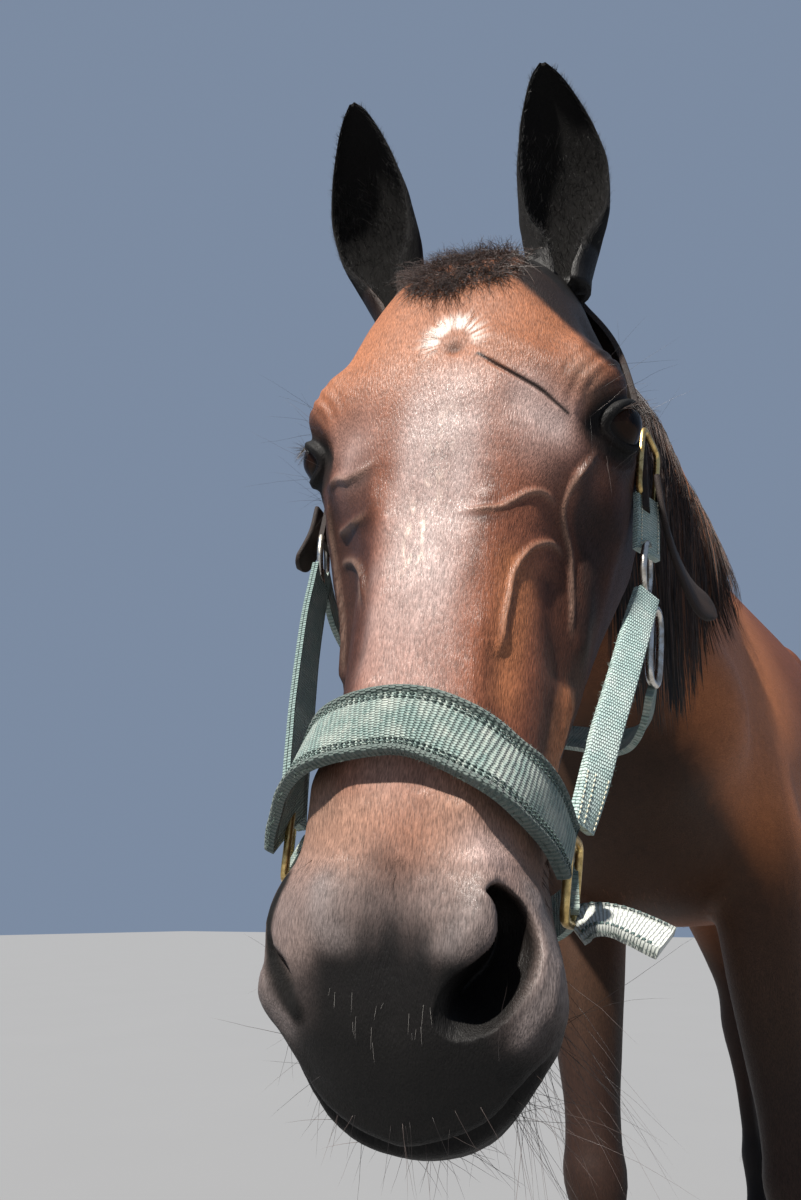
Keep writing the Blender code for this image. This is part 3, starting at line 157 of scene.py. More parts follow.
def meshFromArrays(name, points, quads, triangles=()):  # quick mesh from index arrays
    mesh = bpy.data.meshes.new(name)
    points = np.asarray(points, np.float32).reshape(-1, 3)
    parts = [np.asarray(a, np.int32) for a in (quads, triangles) if len(a)]
    corners = np.concatenate([a.reshape(-1) for a in parts])
    counts = np.concatenate([np.full(len(a), a.shape[1], np.int32) for a in parts])
    starts = np.concatenate([[0], np.cumsum(counts)[:-1]]).astype(np.int32)
    mesh.vertices.add(len(points))
    mesh.vertices.foreach_set("co", points.reshape(-1))
    mesh.loops.add(len(corners))
    mesh.loops.foreach_set("vertex_index", corners)
    mesh.polygons.add(len(counts))
    mesh.polygons.foreach_set("loop_start", starts)
    mesh.update(calc_edges=True)
    mesh.validate()
    obj = bpy.data.objects.new(name, mesh)
    link(obj)
    return obj


def outward(obj):  # every face turned to the outside
    work = bmesh.new()
    work.from_mesh(obj.data)
    bmesh.ops.recalc_face_normals(work, faces=work.faces)
    work.to_mesh(obj.data)
    work.free()
    return obj


def ringQuads(i, j, nextI, nextJ, count):  # faces between neighbouring rings of count points
    corners = (i * count + j, i * count + nextJ, nextI * count + nextJ, nextI * count + j)
    return np.stack(corners, -1).reshape(-1, 4)


def loft(name, rings):  # a closed skin over rings of points
    rings = np.asarray(rings, float)
    rows, count = rings.shape[:2]
    i, j = np.meshgrid(np.arange(rows - 1), np.arange(count), indexing="ij")
    quads = ringQuads(i, j, i + 1, (j + 1) % count, count)
    points = np.concatenate([rings.reshape(-1, 3), rings[0].mean(0)[None], rings[-1].mean(0)[None]])
    triangles = []
    for j in range(count):
        k, end = (j + 1) % count, (rows - 1) * count
        triangles += [(rows * count, k, j), (rows * count + 1, end + j, end + k)]
    return outward(meshFromArrays(name, points, quads, np.array(triangles)))


def places(obj):
    co = np.zeros(len(obj.data.vertices) * 3, np.float32)
    obj.data.vertices.foreach_get("co", co)
    return co.reshape(-1, 3).astype(float)


def setPlaces(obj, points):
    obj.data.vertices.foreach_set("co", np.asarray(points, np.float32).reshape(-1))
    obj.data.update()


def normalsOf(obj):
    normals = np.zeros(len(obj.data.vertices) * 3, np.float32)
    obj.data.vertex_normals.foreach_get("vector", normals)
    return normals.reshape(-1, 3).astype(float)


def setWeights(obj, name, weight, steps=20):
    group = obj.vertex_groups.new(name=name)
    level = np.round(weight * steps).astype(int)
    for i in range(1, steps + 1):
        members = np.nonzero(level == i)[0]
        if len(members):
            group.add(members.tolist(), i / steps, "REPLACE")


def smoothPath(points, count):  # evenly spaced points on a smooth line through a few
    points = np.asarray(points, float)
    chord = runOf(points[:, :3])
    tangent = np.gradient(points, chord, axis=0)
    fine = np.linspace(0, chord[-1], 400)
    i = np.clip(np.searchsorted(chord, fine, side="right") - 1, 0, len(chord) - 2)
    span = (chord[i + 1] - chord[i])[:, None]
    t = (fine[:, None] - chord[i][:, None]) / span
    line = points[i] * (1 + 2 * t) * (1 - t) ** 2 + tangent[i] * span * t * (1 - t) ** 2
    line += points[i + 1] * t * t * (3 - 2 * t) + tangent[i + 1] * span * t * t * (t - 1)
    far = runOf(line[:, :3])
    even = np.linspace(0, far[-1], count)
    return np.stack([np.interp(even, far, line[:, k]) for k in range(line.shape[1])], -1)


# The head's own frame: sideways to the horse's left, down the face, depth into the head
def headAxes():
    turn = Matrix.Rotation(radians(headPose["turn"]), 4, "Z")
    roll = Matrix.Rotation(radians(headPose["roll"]), 4, "Y")
    lean = radians(headPose["lean"])
    axes = Matrix((
        (1, 0, 0, 0),
        (0, -sin(lean), cos(lean), 0),
        (0, -cos(lean), -sin(lean), 0),
        (0, 0, 0, 1),
    ))
    return Matrix.Translation(Vector(headPose["poll"])) @ turn @ roll @ axes


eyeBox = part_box("eye_left")
baseFrame = headAxes()
eyeLeftBefore = baseFrame @ Vector(eyeSpec["place"])
shift = (Vector(eyeBox[0]) + Vector(eyeBox[1])) / 2 - eyeLeftBefore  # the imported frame's origin
headFrame = Matrix.Translation(shift) @ baseFrame
headArray = np.array(headFrame)
headInverse = np.array(headFrame.inverted())
headTurn, origin = headArray[:3, :3], np.array(shift)


def fromHead(points):  # head frame to world
    return np.asarray(points, float) @ headTurn.T + headArray[:3, 3]


def toHead(points):  # world to head frame
    return np.asarray(points, float) @ headInverse[:3, :3].T + headInverse[:3, 3]


# Trunk: forward of the withers, top, bottom, half width, height of the widest line, fullness above and below
trunkRows = [
    (0.385, 1.19, 1.04, 0.06, 1.12, 2.0, 2.0), (0.355, 1.26, 0.97, 0.115, 1.12, 2.0, 2.2),
    (0.3, 1.35, 0.915, 0.155, 1.11, 1.9, 2.3), (0.2, 1.49, 0.854, 0.185, 1.1, 1.75, 2.3),
    (0.09, 1.602, 0.83, 0.212, 1.1, 1.55, 2.3), (0.0, 1.638, 0.82, 0.234, 1.12, 1.5, 2.3),
    (-0.12, 1.62, 0.82, 0.25, 1.13, 1.6, 2.3), (-0.26, 1.58, 0.836, 0.266, 1.16, 1.8, 2.2),
    (-0.42, 1.552, 0.864, 0.28, 1.19, 2.0, 2.2), (-0.58, 1.556, 0.905, 0.282, 1.21, 2.1, 2.2),
    (-0.72, 1.58, 0.962, 0.268, 1.26, 2.1, 2.2), (-0.85, 1.608, 1.014, 0.258, 1.32, 2.1, 2.2),
    (-0.97, 1.612, 1.056, 0.252, 1.34, 2.0, 2.2), (-1.1, 1.575, 1.088, 0.232, 1.32, 2.0, 2.2),
    (-1.21, 1.505, 1.12, 0.19, 1.3, 2.0, 2.2), (-1.285, 1.43, 1.18, 0.13, 1.3, 2.0, 2.0),
    (-1.32, 1.36, 1.25, 0.06, 1.31, 2.0, 2.0),
]

# Neck: crest forward and height, underline forward and height, half width
neckRows = [
    (-0.08, 1.6, 0.23, 0.96, 0.172), (0.13, 1.596, 0.4, 1.065, 0.155),
    (0.32, 1.572, 0.52, 1.13, 0.129), (0.54, 1.532, 0.635, 1.16, 0.107),
    (0.74, 1.48, 0.735, 1.178, 0.096), (0.9, 1.418, 0.81, 1.185, 0.086),
    (1.0, 1.362, 0.86, 1.19, 0.074), (1.035, 1.305, 0.9, 1.2, 0.05),
]

# Legs: height, forward, half depth, half width, shift from the stance line
foreLegRows = tenths([
    (11000, 750, 1250, 600, 100), (10000, 600, 1200, 740, 120), (9200, 620, 1120, 810, 100),
    (8400, 740, 950, 730, 80), (7500, 880, 780, 640, 50), (6500, 980, 600, 520, 20),
    (5600, 1050, 470, 430, 0), (5250, 1080, 450, 440, 0), (4950, 1100, 480, 490, 0),
    (4650, 1080, 440, 460, 0), (4300, 1000, 370, 340, 0), (3800, 960, 330, 250, 0),
    (3000, 960, 320, 235, 0), (2550, 970, 360, 290, 0), (2250, 990, 410, 350, 0),
    (1950, 1060, 360, 320, 0), (1550, 1240, 290, 280, 0), (1150, 1420, 360, 370, 0),
    (700, 1570, 460, 500, 0), (400, 1650, 500, 540, 0),
])

hindLegRows = tenths([
    (12600, -10400, 2000, 700, 200), (11200, -10200, 2050, 920, 260), (10200, -10100, 1800, 920, 300),
    (9400, -10200, 1420, 820, 280), (8600, -10600, 1060, 670, 200), (7800, -11100, 780, 530, 120),
    (7000, -11650, 600, 420, 60), (6450, -12000, 620, 370, 20), (6000, -12150, 640, 400, 0),
    (5550, -12120, 560, 440, 0), (5000, -12050, 440, 380, 0), (4500, -12020, 370, 300, 0),
    (3700, -12000, 340, 255, 0), (3000, -11980, 340, 255, 0), (2620, -11960, 380, 300, 0),
    (2320, -11930, 430, 360, 0), (2000, -11840, 370, 330, 0), (1580, -11630, 300, 290, 0),
    (1150, -11430, 360, 360, 0), (700, -11280, 460, 480, 0), (400, -11200, 500, 520, 0),
])

# Head: down the face, depth of nose line and jaw line, half width, depth of the widest line, fullness
headRows = tenths([
    (-350, 920, 1350, 300, 1120, 2.0, 2.0), (-200, 740, 1650, 520, 1100, 2.0, 2.0),
    (50, 560, 2050, 640, 1040, 2.1, 2.2), (450, 260, 2440, 760, 1000, 2.3, 2.4),
    (900, 30, 2640, 880, 1000, 2.4, 2.5), (1400, -90, 2720, 1000, 950, 2.5, 2.6),
    (1900, -100, 2660, 1080, 900, 2.6, 2.7), (2400, -40, 2460, 1050, 880, 2.4, 2.7),
    (2900, 20, 2120, 940, 980, 2.1, 2.6), (3400, 50, 1780, 810, 1000, 2.1, 2.4),
    (3900, 60, 1520, 690, 900, 2.2, 2.2), (4400, 60, 1350, 610, 760, 2.3, 2.1),
    (4900, 60, 1260, 610, 640, 2.4, 2.1), (5250, 70, 1220, 650, 570, 2.5, 2.1),
    (5520, 120, 1220, 640, 570, 2.5, 2.2), (5770, 230, 1180, 560, 630, 2.4, 2.2),
    (5960, 360, 1100, 440, 700, 2.2, 2.2), (6080, 500, 980, 280, 750, 2.0, 2.0),
    (6130, 680, 840, 60, 760, 2.0, 2.0),
])


# Masses of the head: middle or line, reach, push, mirrored on both sides
headMasses = tenths([
    ((960, 1850, 300), None, (300, 300, 260), (120, 0, -60)),  # brow
    ((920, 1400, 450), None, (200, 220, 220), (-80, 0, 30)),  # hollow above the eye
    ((1000, 2050, 850), (860, 900, 1050), 180, (60, 0, 0)),  # cheek bone
    ((900, 2620, 780), (600, 3750, 880), 140, (70, 0, 0)),  # crest below the eye
    ((720, 3000, 450), None, (300, 550, 240), (-100, 0, 30)),  # hollow beside the nose
    ((850, 1850, 1800), None, (600, 850, 650), (100, 0, 0)),  # cheek muscle
    ((380, 2900, 60), (300, 4700, 80), 120, (30, 0, -30)),  # edge of the nose bone
    ((450, 750, -50), None, (280, 500, 300), (0, 0, -60)),  # temple
    ((580, 5450, 400), None, (260, 300, 300), (100, 0, 0)),  # wing of the nostril
    ((400, 5150, 60), None, (200, 220, 200), (40, 0, -60)),
    ((520, 4800, 400), None, (200, 300, 300), (-40, 0, 0)),  # pinch above the nostril
    ((0, 5650, 1220), None, (350, 220, 160), (0, 40, 100)),  # chin
    ((0, 5150, 1220), None, (500, 220, 200), (0, 0, -60)),  # groove behind it
])


def shaped(points, masses):  # points of the head frame, moved by a list of masses
    for start, end, reach, push in masses:
        mirrored = points.copy()
        mirrored[..., 0] = np.abs(mirrored[..., 0])
        nearest = np.array(start, float)
        if end is not None:
            line = np.array(end, float) - nearest
            t = np.clip(((mirrored - nearest) @ line) / (line @ line), 0, 1)[..., None]
            nearest = nearest + t * line
        weight = np.exp(-(((mirrored - nearest) / np.array(reach)) ** 2).sum(-1))[..., None]
        side = np.where(points[..., :1] < 0, -1.0, 1.0) * (start[0] != 0)
        points = points + weight * np.concatenate([side * push[0]] + [side * 0 + p for p in push[1:]], -1)
    return points


def roundSections(table, along, count):  # rounded sections in two halves: sideways, along and across
    top, bottom, half, wide, fullTop, fullBottom = (
        curve(column(table, i), along)[:, None] for i in range(1, 7)
    )
    angle = circle(count)[None, :]
    upper = np.cos(angle) >= 0
    fullness = np.where(upper, fullTop, fullBottom)
    rise = power(np.cos(angle), 2 / fullness)
    side = half * power(np.sin(angle), 2 / fullness)
    far = np.where(upper, wide + (top - wide) * rise, wide + (wide - bottom) * rise)
    return side, np.broadcast_to(along[:, None], side.shape), far


def makeHeadLoft():
    down = np.concatenate([
        np.linspace(-0.035, 0.56, 98, endpoint=False),
        0.56 + 0.053 * np.sin(np.linspace(0, pi / 2, 32)),
    ])
    points = np.stack(roundSections(headRows, down, 96), -1)
    return loft("headForm", fromHead(shaped(points, headMasses)) - origin)


def makeTrunkLoft():
    forward = np.concatenate([
        0.385 - 0.06 * (1 - np.cos(np.linspace(0, pi / 2, 8, endpoint=False))),
        np.linspace(0.325, -1.25, 70),
        -1.25 - 0.07 * np.sin(np.linspace(0.2, pi / 2, 7)),
    ])
    side, forward, height = roundSections(trunkRows, forward, 64)
    return loft("trunkForm", np.stack([side, -forward, height], -1))


def neckBend(forward):  # how far the neck's middle lies to the left
    return headPose["poll"][0] * (max(forward - 0.1, 0.0) / (-headPose["poll"][1] - 0.1)) ** 1.35


def makeNeckLoft():
    spots = shares(40)
    spread = shares(len(neckRows))
    curves = [curve([(p, row[i]) for p, row in zip(spread, neckRows)], spots) for i in range(5)]
    rings = []
    for crestForward, crestHeight, underForward, underHeight, half in zip(*curves):
        forward = (crestForward + underForward) / 2
        turn = Matrix.Rotation(atan2(neckBend(forward + 0.01) - neckBend(forward), 0.01), 3, "Z")
        across = turn @ Vector((1, 0, 0))
        middle = Vector((neckBend(forward), -forward, (crestHeight + underHeight) / 2))
        rise = turn @ Vector((0, -(crestForward - underForward) / 2, (crestHeight - underHeight) / 2))
        ring = []
        for t in circle(48):
            fullness = 2 / (1.75 if cos(t) > 0 else 2.3)
            wide, tall = float(half * power(sin(t), fullness)), float(power(cos(t), fullness))
            ring.append(middle + across * wide + rise * tall)
        rings.append(ring)
    return loft("neckForm", rings)


def legLean(height, lean):
    return lean * (1 - np.clip(height, 0.0, 1.0))


legs = {
    "foreLeft": (foreLegRows, 1, stance["foreLeft"], -stance["foreStagger"]),
    "foreRight": (foreLegRows, -1, stance["foreRight"], stance["foreStagger"]),
    "hindLeft": (hindLegRows, 1, stance["hind"], stance["hindStagger"]),
    "hindRight": (hindLegRows, -1, stance["hind"], -stance["hindStagger"]),
}


def makeLegLoft(name):
    table, side, out, lean = legs[name]
    heights = np.concatenate([np.linspace(table[0][0], 0.3, 36, endpoint=False),
            np.linspace(0.3, 0.04, 26)])[:, None]
    forward, depth, half, offset = (curve(column(table, i), heights) for i in range(1, 5))
    angle = circle(28)[None, :]
    x = side * (out + offset) + half * np.sin(angle)
    y = -(forward + legLean(heights, lean) + depth * np.cos(angle))
    return loft(name, np.stack([x, y, np.broadcast_to(heights, x.shape)], -1))


# Muscles and bones under the skin: middle (sideways out), radii, turn in degrees
muscles = [
    ((0.12, -0.14, 1.3), (0.062, 0.14, 0.25), (-28, -10)),  # shoulder blade
    ((0.138, -0.27, 1.12), (0.07, 0.11, 0.12), (0, 0)),  # point of the shoulder
    ((0.172, -0.03, 1.06), (0.058, 0.13, 0.115), (-20, 0)),  # upper arm
    ((0.072, -0.325, 1.06), (0.078, 0.068, 0.105), (0, 0)),  # breast
    ((0.15, 0.03, 0.955), (0.04, 0.055, 0.06), (0, 0)),  # elbow
    ((0.175, 0.79, 1.43), (0.075, 0.14, 0.09), (0, 0)),  # hip
    ((0.14, 0.99, 1.33), (0.108, 0.25, 0.24), (0, 0)),  # haunch
    ((0.145, 1.12, 1.18), (0.088, 0.155, 0.26), (-10, 0)),  # thigh
    ((0.165, 0.9, 1.08), (0.062, 0.105, 0.16), (22, 0)),  # stifle
    ((0.15, 0.78, 1.13), (0.07, 0.13, 0.14), (20, 0)),  # flank
]


def ellipsoid(centre, radii, turnX=0.0, turnY=0.0):
    bpy.ops.mesh.primitive_uv_sphere_add(
        segments=32, ring_count=16, radius=1.0, location=centre, scale=radii,
        rotation=(radians(turnX), radians(turnY), 0),
    )
    bpy.ops.object.transform_apply(location=True, rotation=True, scale=True)
    return bpy.context.object


def joined(name, pieces):
    select(*pieces)
    bpy.ops.object.join()
    pieces[0].name = name
    pieces[0].data.name = name
    return pieces[0]


def makeFlesh(voxel):
    deselectAll()
    forms = [makeTrunkLoft(), makeNeckLoft(), makeHeadLoft()] + [makeLegLoft(name) for name in legs]
    for (x, y, z), radii, (turnX, turnY) in muscles:
        for side in (-1, 1):
            forms.append(ellipsoid((side * x, y, z), radii, turnX, side * turnY))
    for side in (-1, 1):
        orbit = fromHead([(side * 0.086, 0.206, 0.056)])[0] - origin
        forms.append(ellipsoid(tuple(orbit), (0.03, 0.034, 0.036)))
    for side, lean in ((1, stance["hindStagger"]), (-1, -stance["hindStagger"])):
        hock = (side * stance["hind"], 1.262 - float(legLean(0.62, lean)), 0.632)
        forms.append(ellipsoid(hock, (0.019, 0.026, 0.044), 14))
        tendon = (side * stance["hind"], 1.238 - float(legLean(0.715, lean)), 0.715)
        forms.append(ellipsoid(tendon, (0.014, 0.019, 0.118), 21))
    flesh = joined("hide", forms)
    remesh = flesh.modifiers.new("one skin", "REMESH")
    remesh.mode, remesh.voxel_size, remesh.adaptivity = "VOXEL", voxel, 0.0
    applyModifiers(flesh)
    points = places(flesh) + origin
    setPlaces(flesh, points)
    local = toHead(points)
    height = np.clip((points[:, 2] - 0.82) / 0.2, 0, 1)
    face = np.clip((local[:, 1] * 0.8 - (local[:, 2] - 0.1) * 0.55 + 0.02) / 0.07, 0, 1)
    face = face * (np.abs(local[:, 0]) < 0.18) * (local[:, 2] < 0.32)
    setWeights(flesh, "blend", height * (1 - face))
    blend = flesh.modifiers.new("blend", "SMOOTH")
    blend.factor, blend.iterations, blend.vertex_group = 0.5, int(150 * (0.008 / voxel) ** 2), "blend"
    settle = flesh.modifiers.new("settle", "SMOOTH")
    settle.factor, settle.iterations = 0.5, 4
    return applyModifiers(flesh)


# Skin: voxel, how much of the body's mesh is kept, depth of the coat on body and face
skinSpec = {"voxel": 0.009, "bodyFaces": 0.26, "coatBody": 0.002, "coatFace": 0.0008}
eyeCentres = {side: np.array(eyeSpec["place"]) * (side, 1, 1) for side in (1, -1)}
nostril = {"place": (0.047, 0.53, 0.024), "inward": (-0.52, -0.13, 0.84), "down": (-0.1, 0.98, 0.1),
    "band": 0.013,
           "deep": 0.027, "shallow": 0.0055}
nostrilRims = tenths({
    1: [(370, 5042, 160), (410, 5006, 180), (492, 5030, 260), (555, 5113, 330), (588, 5223, 340),
     (574, 5354, 310), (522, 5467, 280), (448, 5563, 260), (361, 5626, 220), (269, 5644, 180),
     (210, 5593, 140), (217, 5507, 120), (269, 5423, 110), (363, 5336, 130), (429, 5261, 150),
     (441, 5181, 160), (423, 5099, 160)],
    -1: [(625, 4990, 300), (690, 5050, 340), (725, 5180, 340), (715, 5340, 320), (670, 5480, 300),
     (600, 5590, 270), (500, 5650, 240), (410, 5640, 200), (450, 5550, 200), (515, 5440, 210),
     (575, 5300, 230), (605, 5140, 260)],
})
nostrilFold = tenths([(270, 5330, 80), (350, 5220, 90), (380, 5080, 120)])
nostrilWing = tenths([(620, 5000, 400), (675, 5240, 380), (640, 5480, 340), (560, 5660, 300)])
nostrilArch = tenths([(340, 4940, 140), (430, 4890, 200), (540, 4920, 300), (610, 5000, 380)])


def unit(v):
    v = np.asarray(v, float)
    return v / np.linalg.norm(v)


def subdivided(obj, mask):  # splits the faces whose corners all lie in the mask
    work = bmesh.new()
    work.from_mesh(obj.data)
    work.verts.ensure_lookup_table()
    for i, v in enumerate(work.verts):
        v.tag = bool(mask[i])
    edges = [e for e in work.edges if e.verts[0].tag and e.verts[1].tag]
    bmesh.ops.subdivide_edges(work, edges=edges, cuts=1, use_grid_fill=True)
    work.to_mesh(obj.data)
    work.free()
    return obj


def relaxed(obj, inside):  # evens the surface inside, out and back again
    points = places(obj)
    edges = np.zeros(len(obj.data.edges) * 2, np.int32)
    obj.data.edges.foreach_get("vertices", edges)
    edges = edges.reshape(-1, 2)
    count = np.bincount(edges.reshape(-1), minlength=len(points)).astype(float)[:, None]
    for amount in (0.5, -0.52) * 2:
        total = np.zeros_like(points)
        for axis in range(3):
            total[:, axis] = np.bincount(edges[:, 0], points[edges[:, 1], axis], len(points))
            total[:, axis] += np.bincount(edges[:, 1], points[edges[:, 0], axis], len(points))
        points = points + (total / np.maximum(count, 1) - points) * amount * inside[:, None]
    setPlaces(obj, points)


def eyeAxes(side):  # out of the eye, along the lids and across them, in the head frame
    out = unit(np.array(eyeSpec["gaze"]) * (side, 1, 1))
    along = np.array([0, -0.5, 0.86])
    along = unit(along - out * (along @ out))
    return out, along, np.cross(out, along)


def eyeLocal(local, side):  # places round the eye: along the lids, across them, outwards
    out, along, across = eyeAxes(side)
    gap = local - eyeCentres[side]
    return gap @ along, gap @ across, gap @ out


def lidOutline(a, b, side):  # below 1 inside the open lids
    half, tall = eyeSpec["opening"]
    rise = b * side + eyeSpec["drop"]
    return np.sqrt((a / half) ** 2 + (np.abs(rise) / tall) ** 1.8)


inwards, downwards = unit(nostril["inward"]), unit(nostril["down"])
acrossNostril = unit(np.cross(downwards, inwards))


def nostrilLocal(local, side):
    gap = local * (side, 1, 1) - np.array(nostril["place"])
    return gap @ acrossNostril, gap @ downwards, gap @ inwards


def nostrilOutline(x, y, side):  # 1 on the nostril's rim, falling inside it and rising outside
    loop = nostrilLoops[side]
    best, crossings = np.full(len(x), 1.0), np.zeros(len(x), int)
    for (x0, y0), (x1, y1) in zip(loop, np.roll(loop, -1, 0)):
        dx, dy = x1 - x0, y1 - y0
        t = np.clip(((x - x0) * dx + (y - y0) * dy) / (dx * dx + dy * dy), 0, 1)
        best = np.minimum(best, np.hypot(x - x0 - t * dx, y - y0 - t * dy))
        cuts = (y0 > y) != (y1 > y)
        crossings += cuts & (x < x0 + (y - y0) * (dx / dy if dy else 0.0))
    return 1 - np.where(crossings % 2 == 1, best, -best) / nostril["band"]


nostrilLoops = {
    side: np.stack(nostrilLocal(smoothPath(rim + rim[:1], 49)[:-1], 1)[:2], 1)
    for side, rim in nostrilRims.items()
}


def farFrom(local, path):  # distance of each point to a path
    path, best = np.asarray(path, float), np.full(len(local), 1e9)
    for start, end in zip(path[:-1], path[1:]):
        line = end - start
        t = np.clip(((local - start) @ line) / max(line @ line, 1e-12), 0, 1)[:, None]
        best = np.minimum(best, lengthOf(local - start - t * line))
    return best


def endFade(local, line, first, last):  # 0 at a line's two ends
    return ease(0.0, first, lengthOf(local - line[0])) * ease(0.0, last, lengthOf(local - line[-1]))


# Veins and creases of the face: path in the head frame, width, height; below 0 is a crease
veins = tenths([
    ([(120, 2980, 40), (298, 2985, 50), (380, 2970, 65), (459, 2911, 90), (536, 2840, 130),
     (601, 2802, 190), (648, 2805, 270), (679, 2837, 340)], 21, 13),
    ([(856, 2467, 340), (797, 2560, 340), (741, 2659, 360), (698, 2810, 380), (705, 2921, 420),
     (728, 3033, 470), (733, 3225, 530), (728, 3417, 570), (714, 3595, 600)], 22, 15),
    ([(401, 3885, 175), (415, 3742, 180), (419, 3619, 184), (432, 3473, 200), (445, 3326, 220),
     (490, 3191, 260), (554, 3088, 310), (611, 3052, 350), (653, 3050, 380), (684, 3089, 410),
     (705, 3154, 430)], 22, 16),
    ([(932, 2400, 340), (860, 2500, 330), (779, 2622, 335), (715, 2760, 347)], 30, 22),
    ([(-890, 2478, 379), (-794, 2482, 249), (-618, 2578, 137), (-477, 2570, 62), (-383, 2534, 24)], 30,
     22),
    ([(-830, 2740, 500), (-784, 2759, 465), (-600, 2849, 252), (-424, 2887, 89)], 30, 22),
    ([(-890, 2478, 379), (-898, 2629, 517), (-820, 3000, 580), (-720, 3400, 600), (-690, 3760, 660)], 34,
     22),
    ([(-790, 2960, 540), (-586, 3100, 323), (-500, 3250, 230), (-430, 3550, 183)], 32, 20),
    ([(706, 3760, 715), (660, 4000, 720), (600, 4300, 700)], 40, 18),
    ([(222, 1882, -91), (379, 2007, -63), (499, 2088, -28), (596, 2146, 16), (690, 2225, 80),
     (750, 2273, 126)], 16, -22),
    ([(100, 4900, 60), (122, 5045, 60), (150, 5200, 65), (160, 5400, 100)], 12, -7),
    ([(-700, 5000, 360), (-718, 5055, 360), (-748, 5180, 360), (-710, 5336, 360), (-615, 5485, 360),
     (-530, 5594, 360)], 50, -85),
])
browCrease, rightNostril = 9, 11
mouthLine = tenths([(0, 6085, 520), (145, 6050, 500), (300, 5990, 500), (412, 5920, 500),
    (530, 5780, 480), (620, 5600, 510), (620, 5420, 620), (590, 5220, 740), (550, 5020, 830)])
warts = tenths([(-5, 4927, 61), (122, 5045, 60), (93, 4644, 62), (-220, 4700, 100)])


# Swells and hollows of the skin alone: line, reach, push
swells = tenths([
    ((630, 3300, 420), (660, 3760, 580), 90, -20), ((-640, 4550, 300), (-710, 5000, 460), 240, 165),
    ((-745, 5000, 500), (-690, 5500, 420), 125, 72), ((300, 2900, 40), (325, 3700, 60), 60, 12),
    ((325, 3700, 60), (300, 4500, 80), 60, 12), ((420, 3900, 200), (440, 4550, 240), 110, -30),
    ((300, 1720, -80), (800, 2000, 100), 100, 20), ((820, 1760, 160), (970, 1900, 340), 110, 34),
    ((480, 2220, 20), (660, 2360, 140), 130, -22), ((960, 2580, 520), (900, 3000, 600), 130, -26),
    ((840, 3000, 620), (760, 3520, 760), 80, 30), ((700, 3950, 700), (660, 4250, 700), 120, 26),
    ((-300, 3000, 40), (-310, 4400, 80), 60, 12), ((-480, 3000, 140), (-460, 3800, 200), 130, -30),
    ((-850, 1720, 160), (-990, 1920, 360), 110, 32), ((-600, 2260, 80), (-740, 2400, 180), 130, -26),
    ((-670, 3300, 450), (-640, 3800, 550), 120, -34), ((70, 1812, -98), None, 50, -16), ((0, 5000, 60),
    (0, 5600, 120), 85, -22), ((300, 4700, 80), (380, 4920, 140), 80, 18),
])


cameraSpec = {"place": (0.33173, -1.48959, 0.84082), "rise": 21.51, "turn": 30.01, "lens": 24.0}


def surfaceTree(obj):
    work = bmesh.new()
    work.from_mesh(obj.data)
    tree = BVHTree.FromBMesh(work)
    work.free()
    return tree


def veinLines(obj):  # the veins' paths, laid on the surface along the line of sight
    tree, reach = surfaceTree(obj), 0.05
    viewer = Vector(cameraSpec["place"]) + shift
    lines = []
    for path, *_ in veins:
        line = []
        for point in fromHead(smoothPath(path, 24)):
            hit = tree.ray_cast(viewer, (Vector(point) - viewer).normalized())[0]
            line.append(point if hit is None or (hit - Vector(point)).length > reach else np.array(hit))
        lines.append(toHead(np.array(line)))
    return lines


def headPart(hide, more=0.0):  # places in the head frame, and which of them are the head's
    local = toHead(places(hide))
    return local, (np.abs(local[:, 0]) < 0.16) & (local[:, 1] > -0.045 - more) & (local[:, 2] < 0.285 + more)


def makeHide():
    hide = makeFlesh(skinSpec["voxel"])
    local, onHead = headPart(hide, 0.005)
    setWeights(hide, "body", np.where(onHead, 0.0, 1.0), 1)
    thin = hide.modifiers.new("lighter body", "DECIMATE")
    thin.ratio, thin.vertex_group, thin.use_collapse_triangulate = skinSpec["bodyFaces"], "body", False
    applyModifiers(hide)
    print("horse: body form,", len(hide.data.polygons), "faces")
    local, onHead = headPart(hide)
    subdivided(hide, onHead)
    local, onHead = headPart(hide)
    relaxed(hide, onHead)
    local = toHead(places(hide))
    nearEye = np.minimum(*(lengthOf(local - eyeCentres[side]) for side in (1, -1)))
    fine = onHead & ((local[:, 1] > 0.455) | (local[:, 2] < 0.062) & (local[:, 1] > 0.13) | (nearEye < 0.06))
    subdivided(hide, fine)
    local, onHead = headPart(hide)
    relaxed(hide, onHead)
    for side in (1, -1):
        local = toHead(places(hide))
        a, b, c = eyeLocal(local, side)
        x, y, z = nostrilLocal(local, side)
        finest = (np.sqrt(a * a + b * b) < 0.029) & (c > 0.0)
        finest |= (nostrilOutline(x, y, side) < 1.45) & (np.abs(z) < 0.04)
        if side > 0:
            w, u, v = local.T
            finest |= (np.hypot((w - 0.006) / 0.03, (u - 0.17) / 0.034) < 1) & (v < 0.05)
            finest |= (np.abs(w + 0.006) < 0.026) & (np.abs(u - 0.28) < 0.065) & (v < 0.05)
            for i in (0, 1, 2, browCrease):
                finest |= farFrom(local, smoothPath(veins[i][0], 20)) < 0.009
        subdivided(hide, finest)
    subdivided(hide, farFrom(toHead(places(hide)), smoothPath(veins[browCrease][0], 20)) < 0.0034)
    print("horse: face form,", len(hide.data.polygons), "faces")
    return hide


def noiseAt(points, scale, seed=0.0):  # soft noise from -1 to 1 at each point
    shifted = np.asarray(points, float) * scale + seed
    return np.array([noise.noise(Vector(p)) for p in shifted])


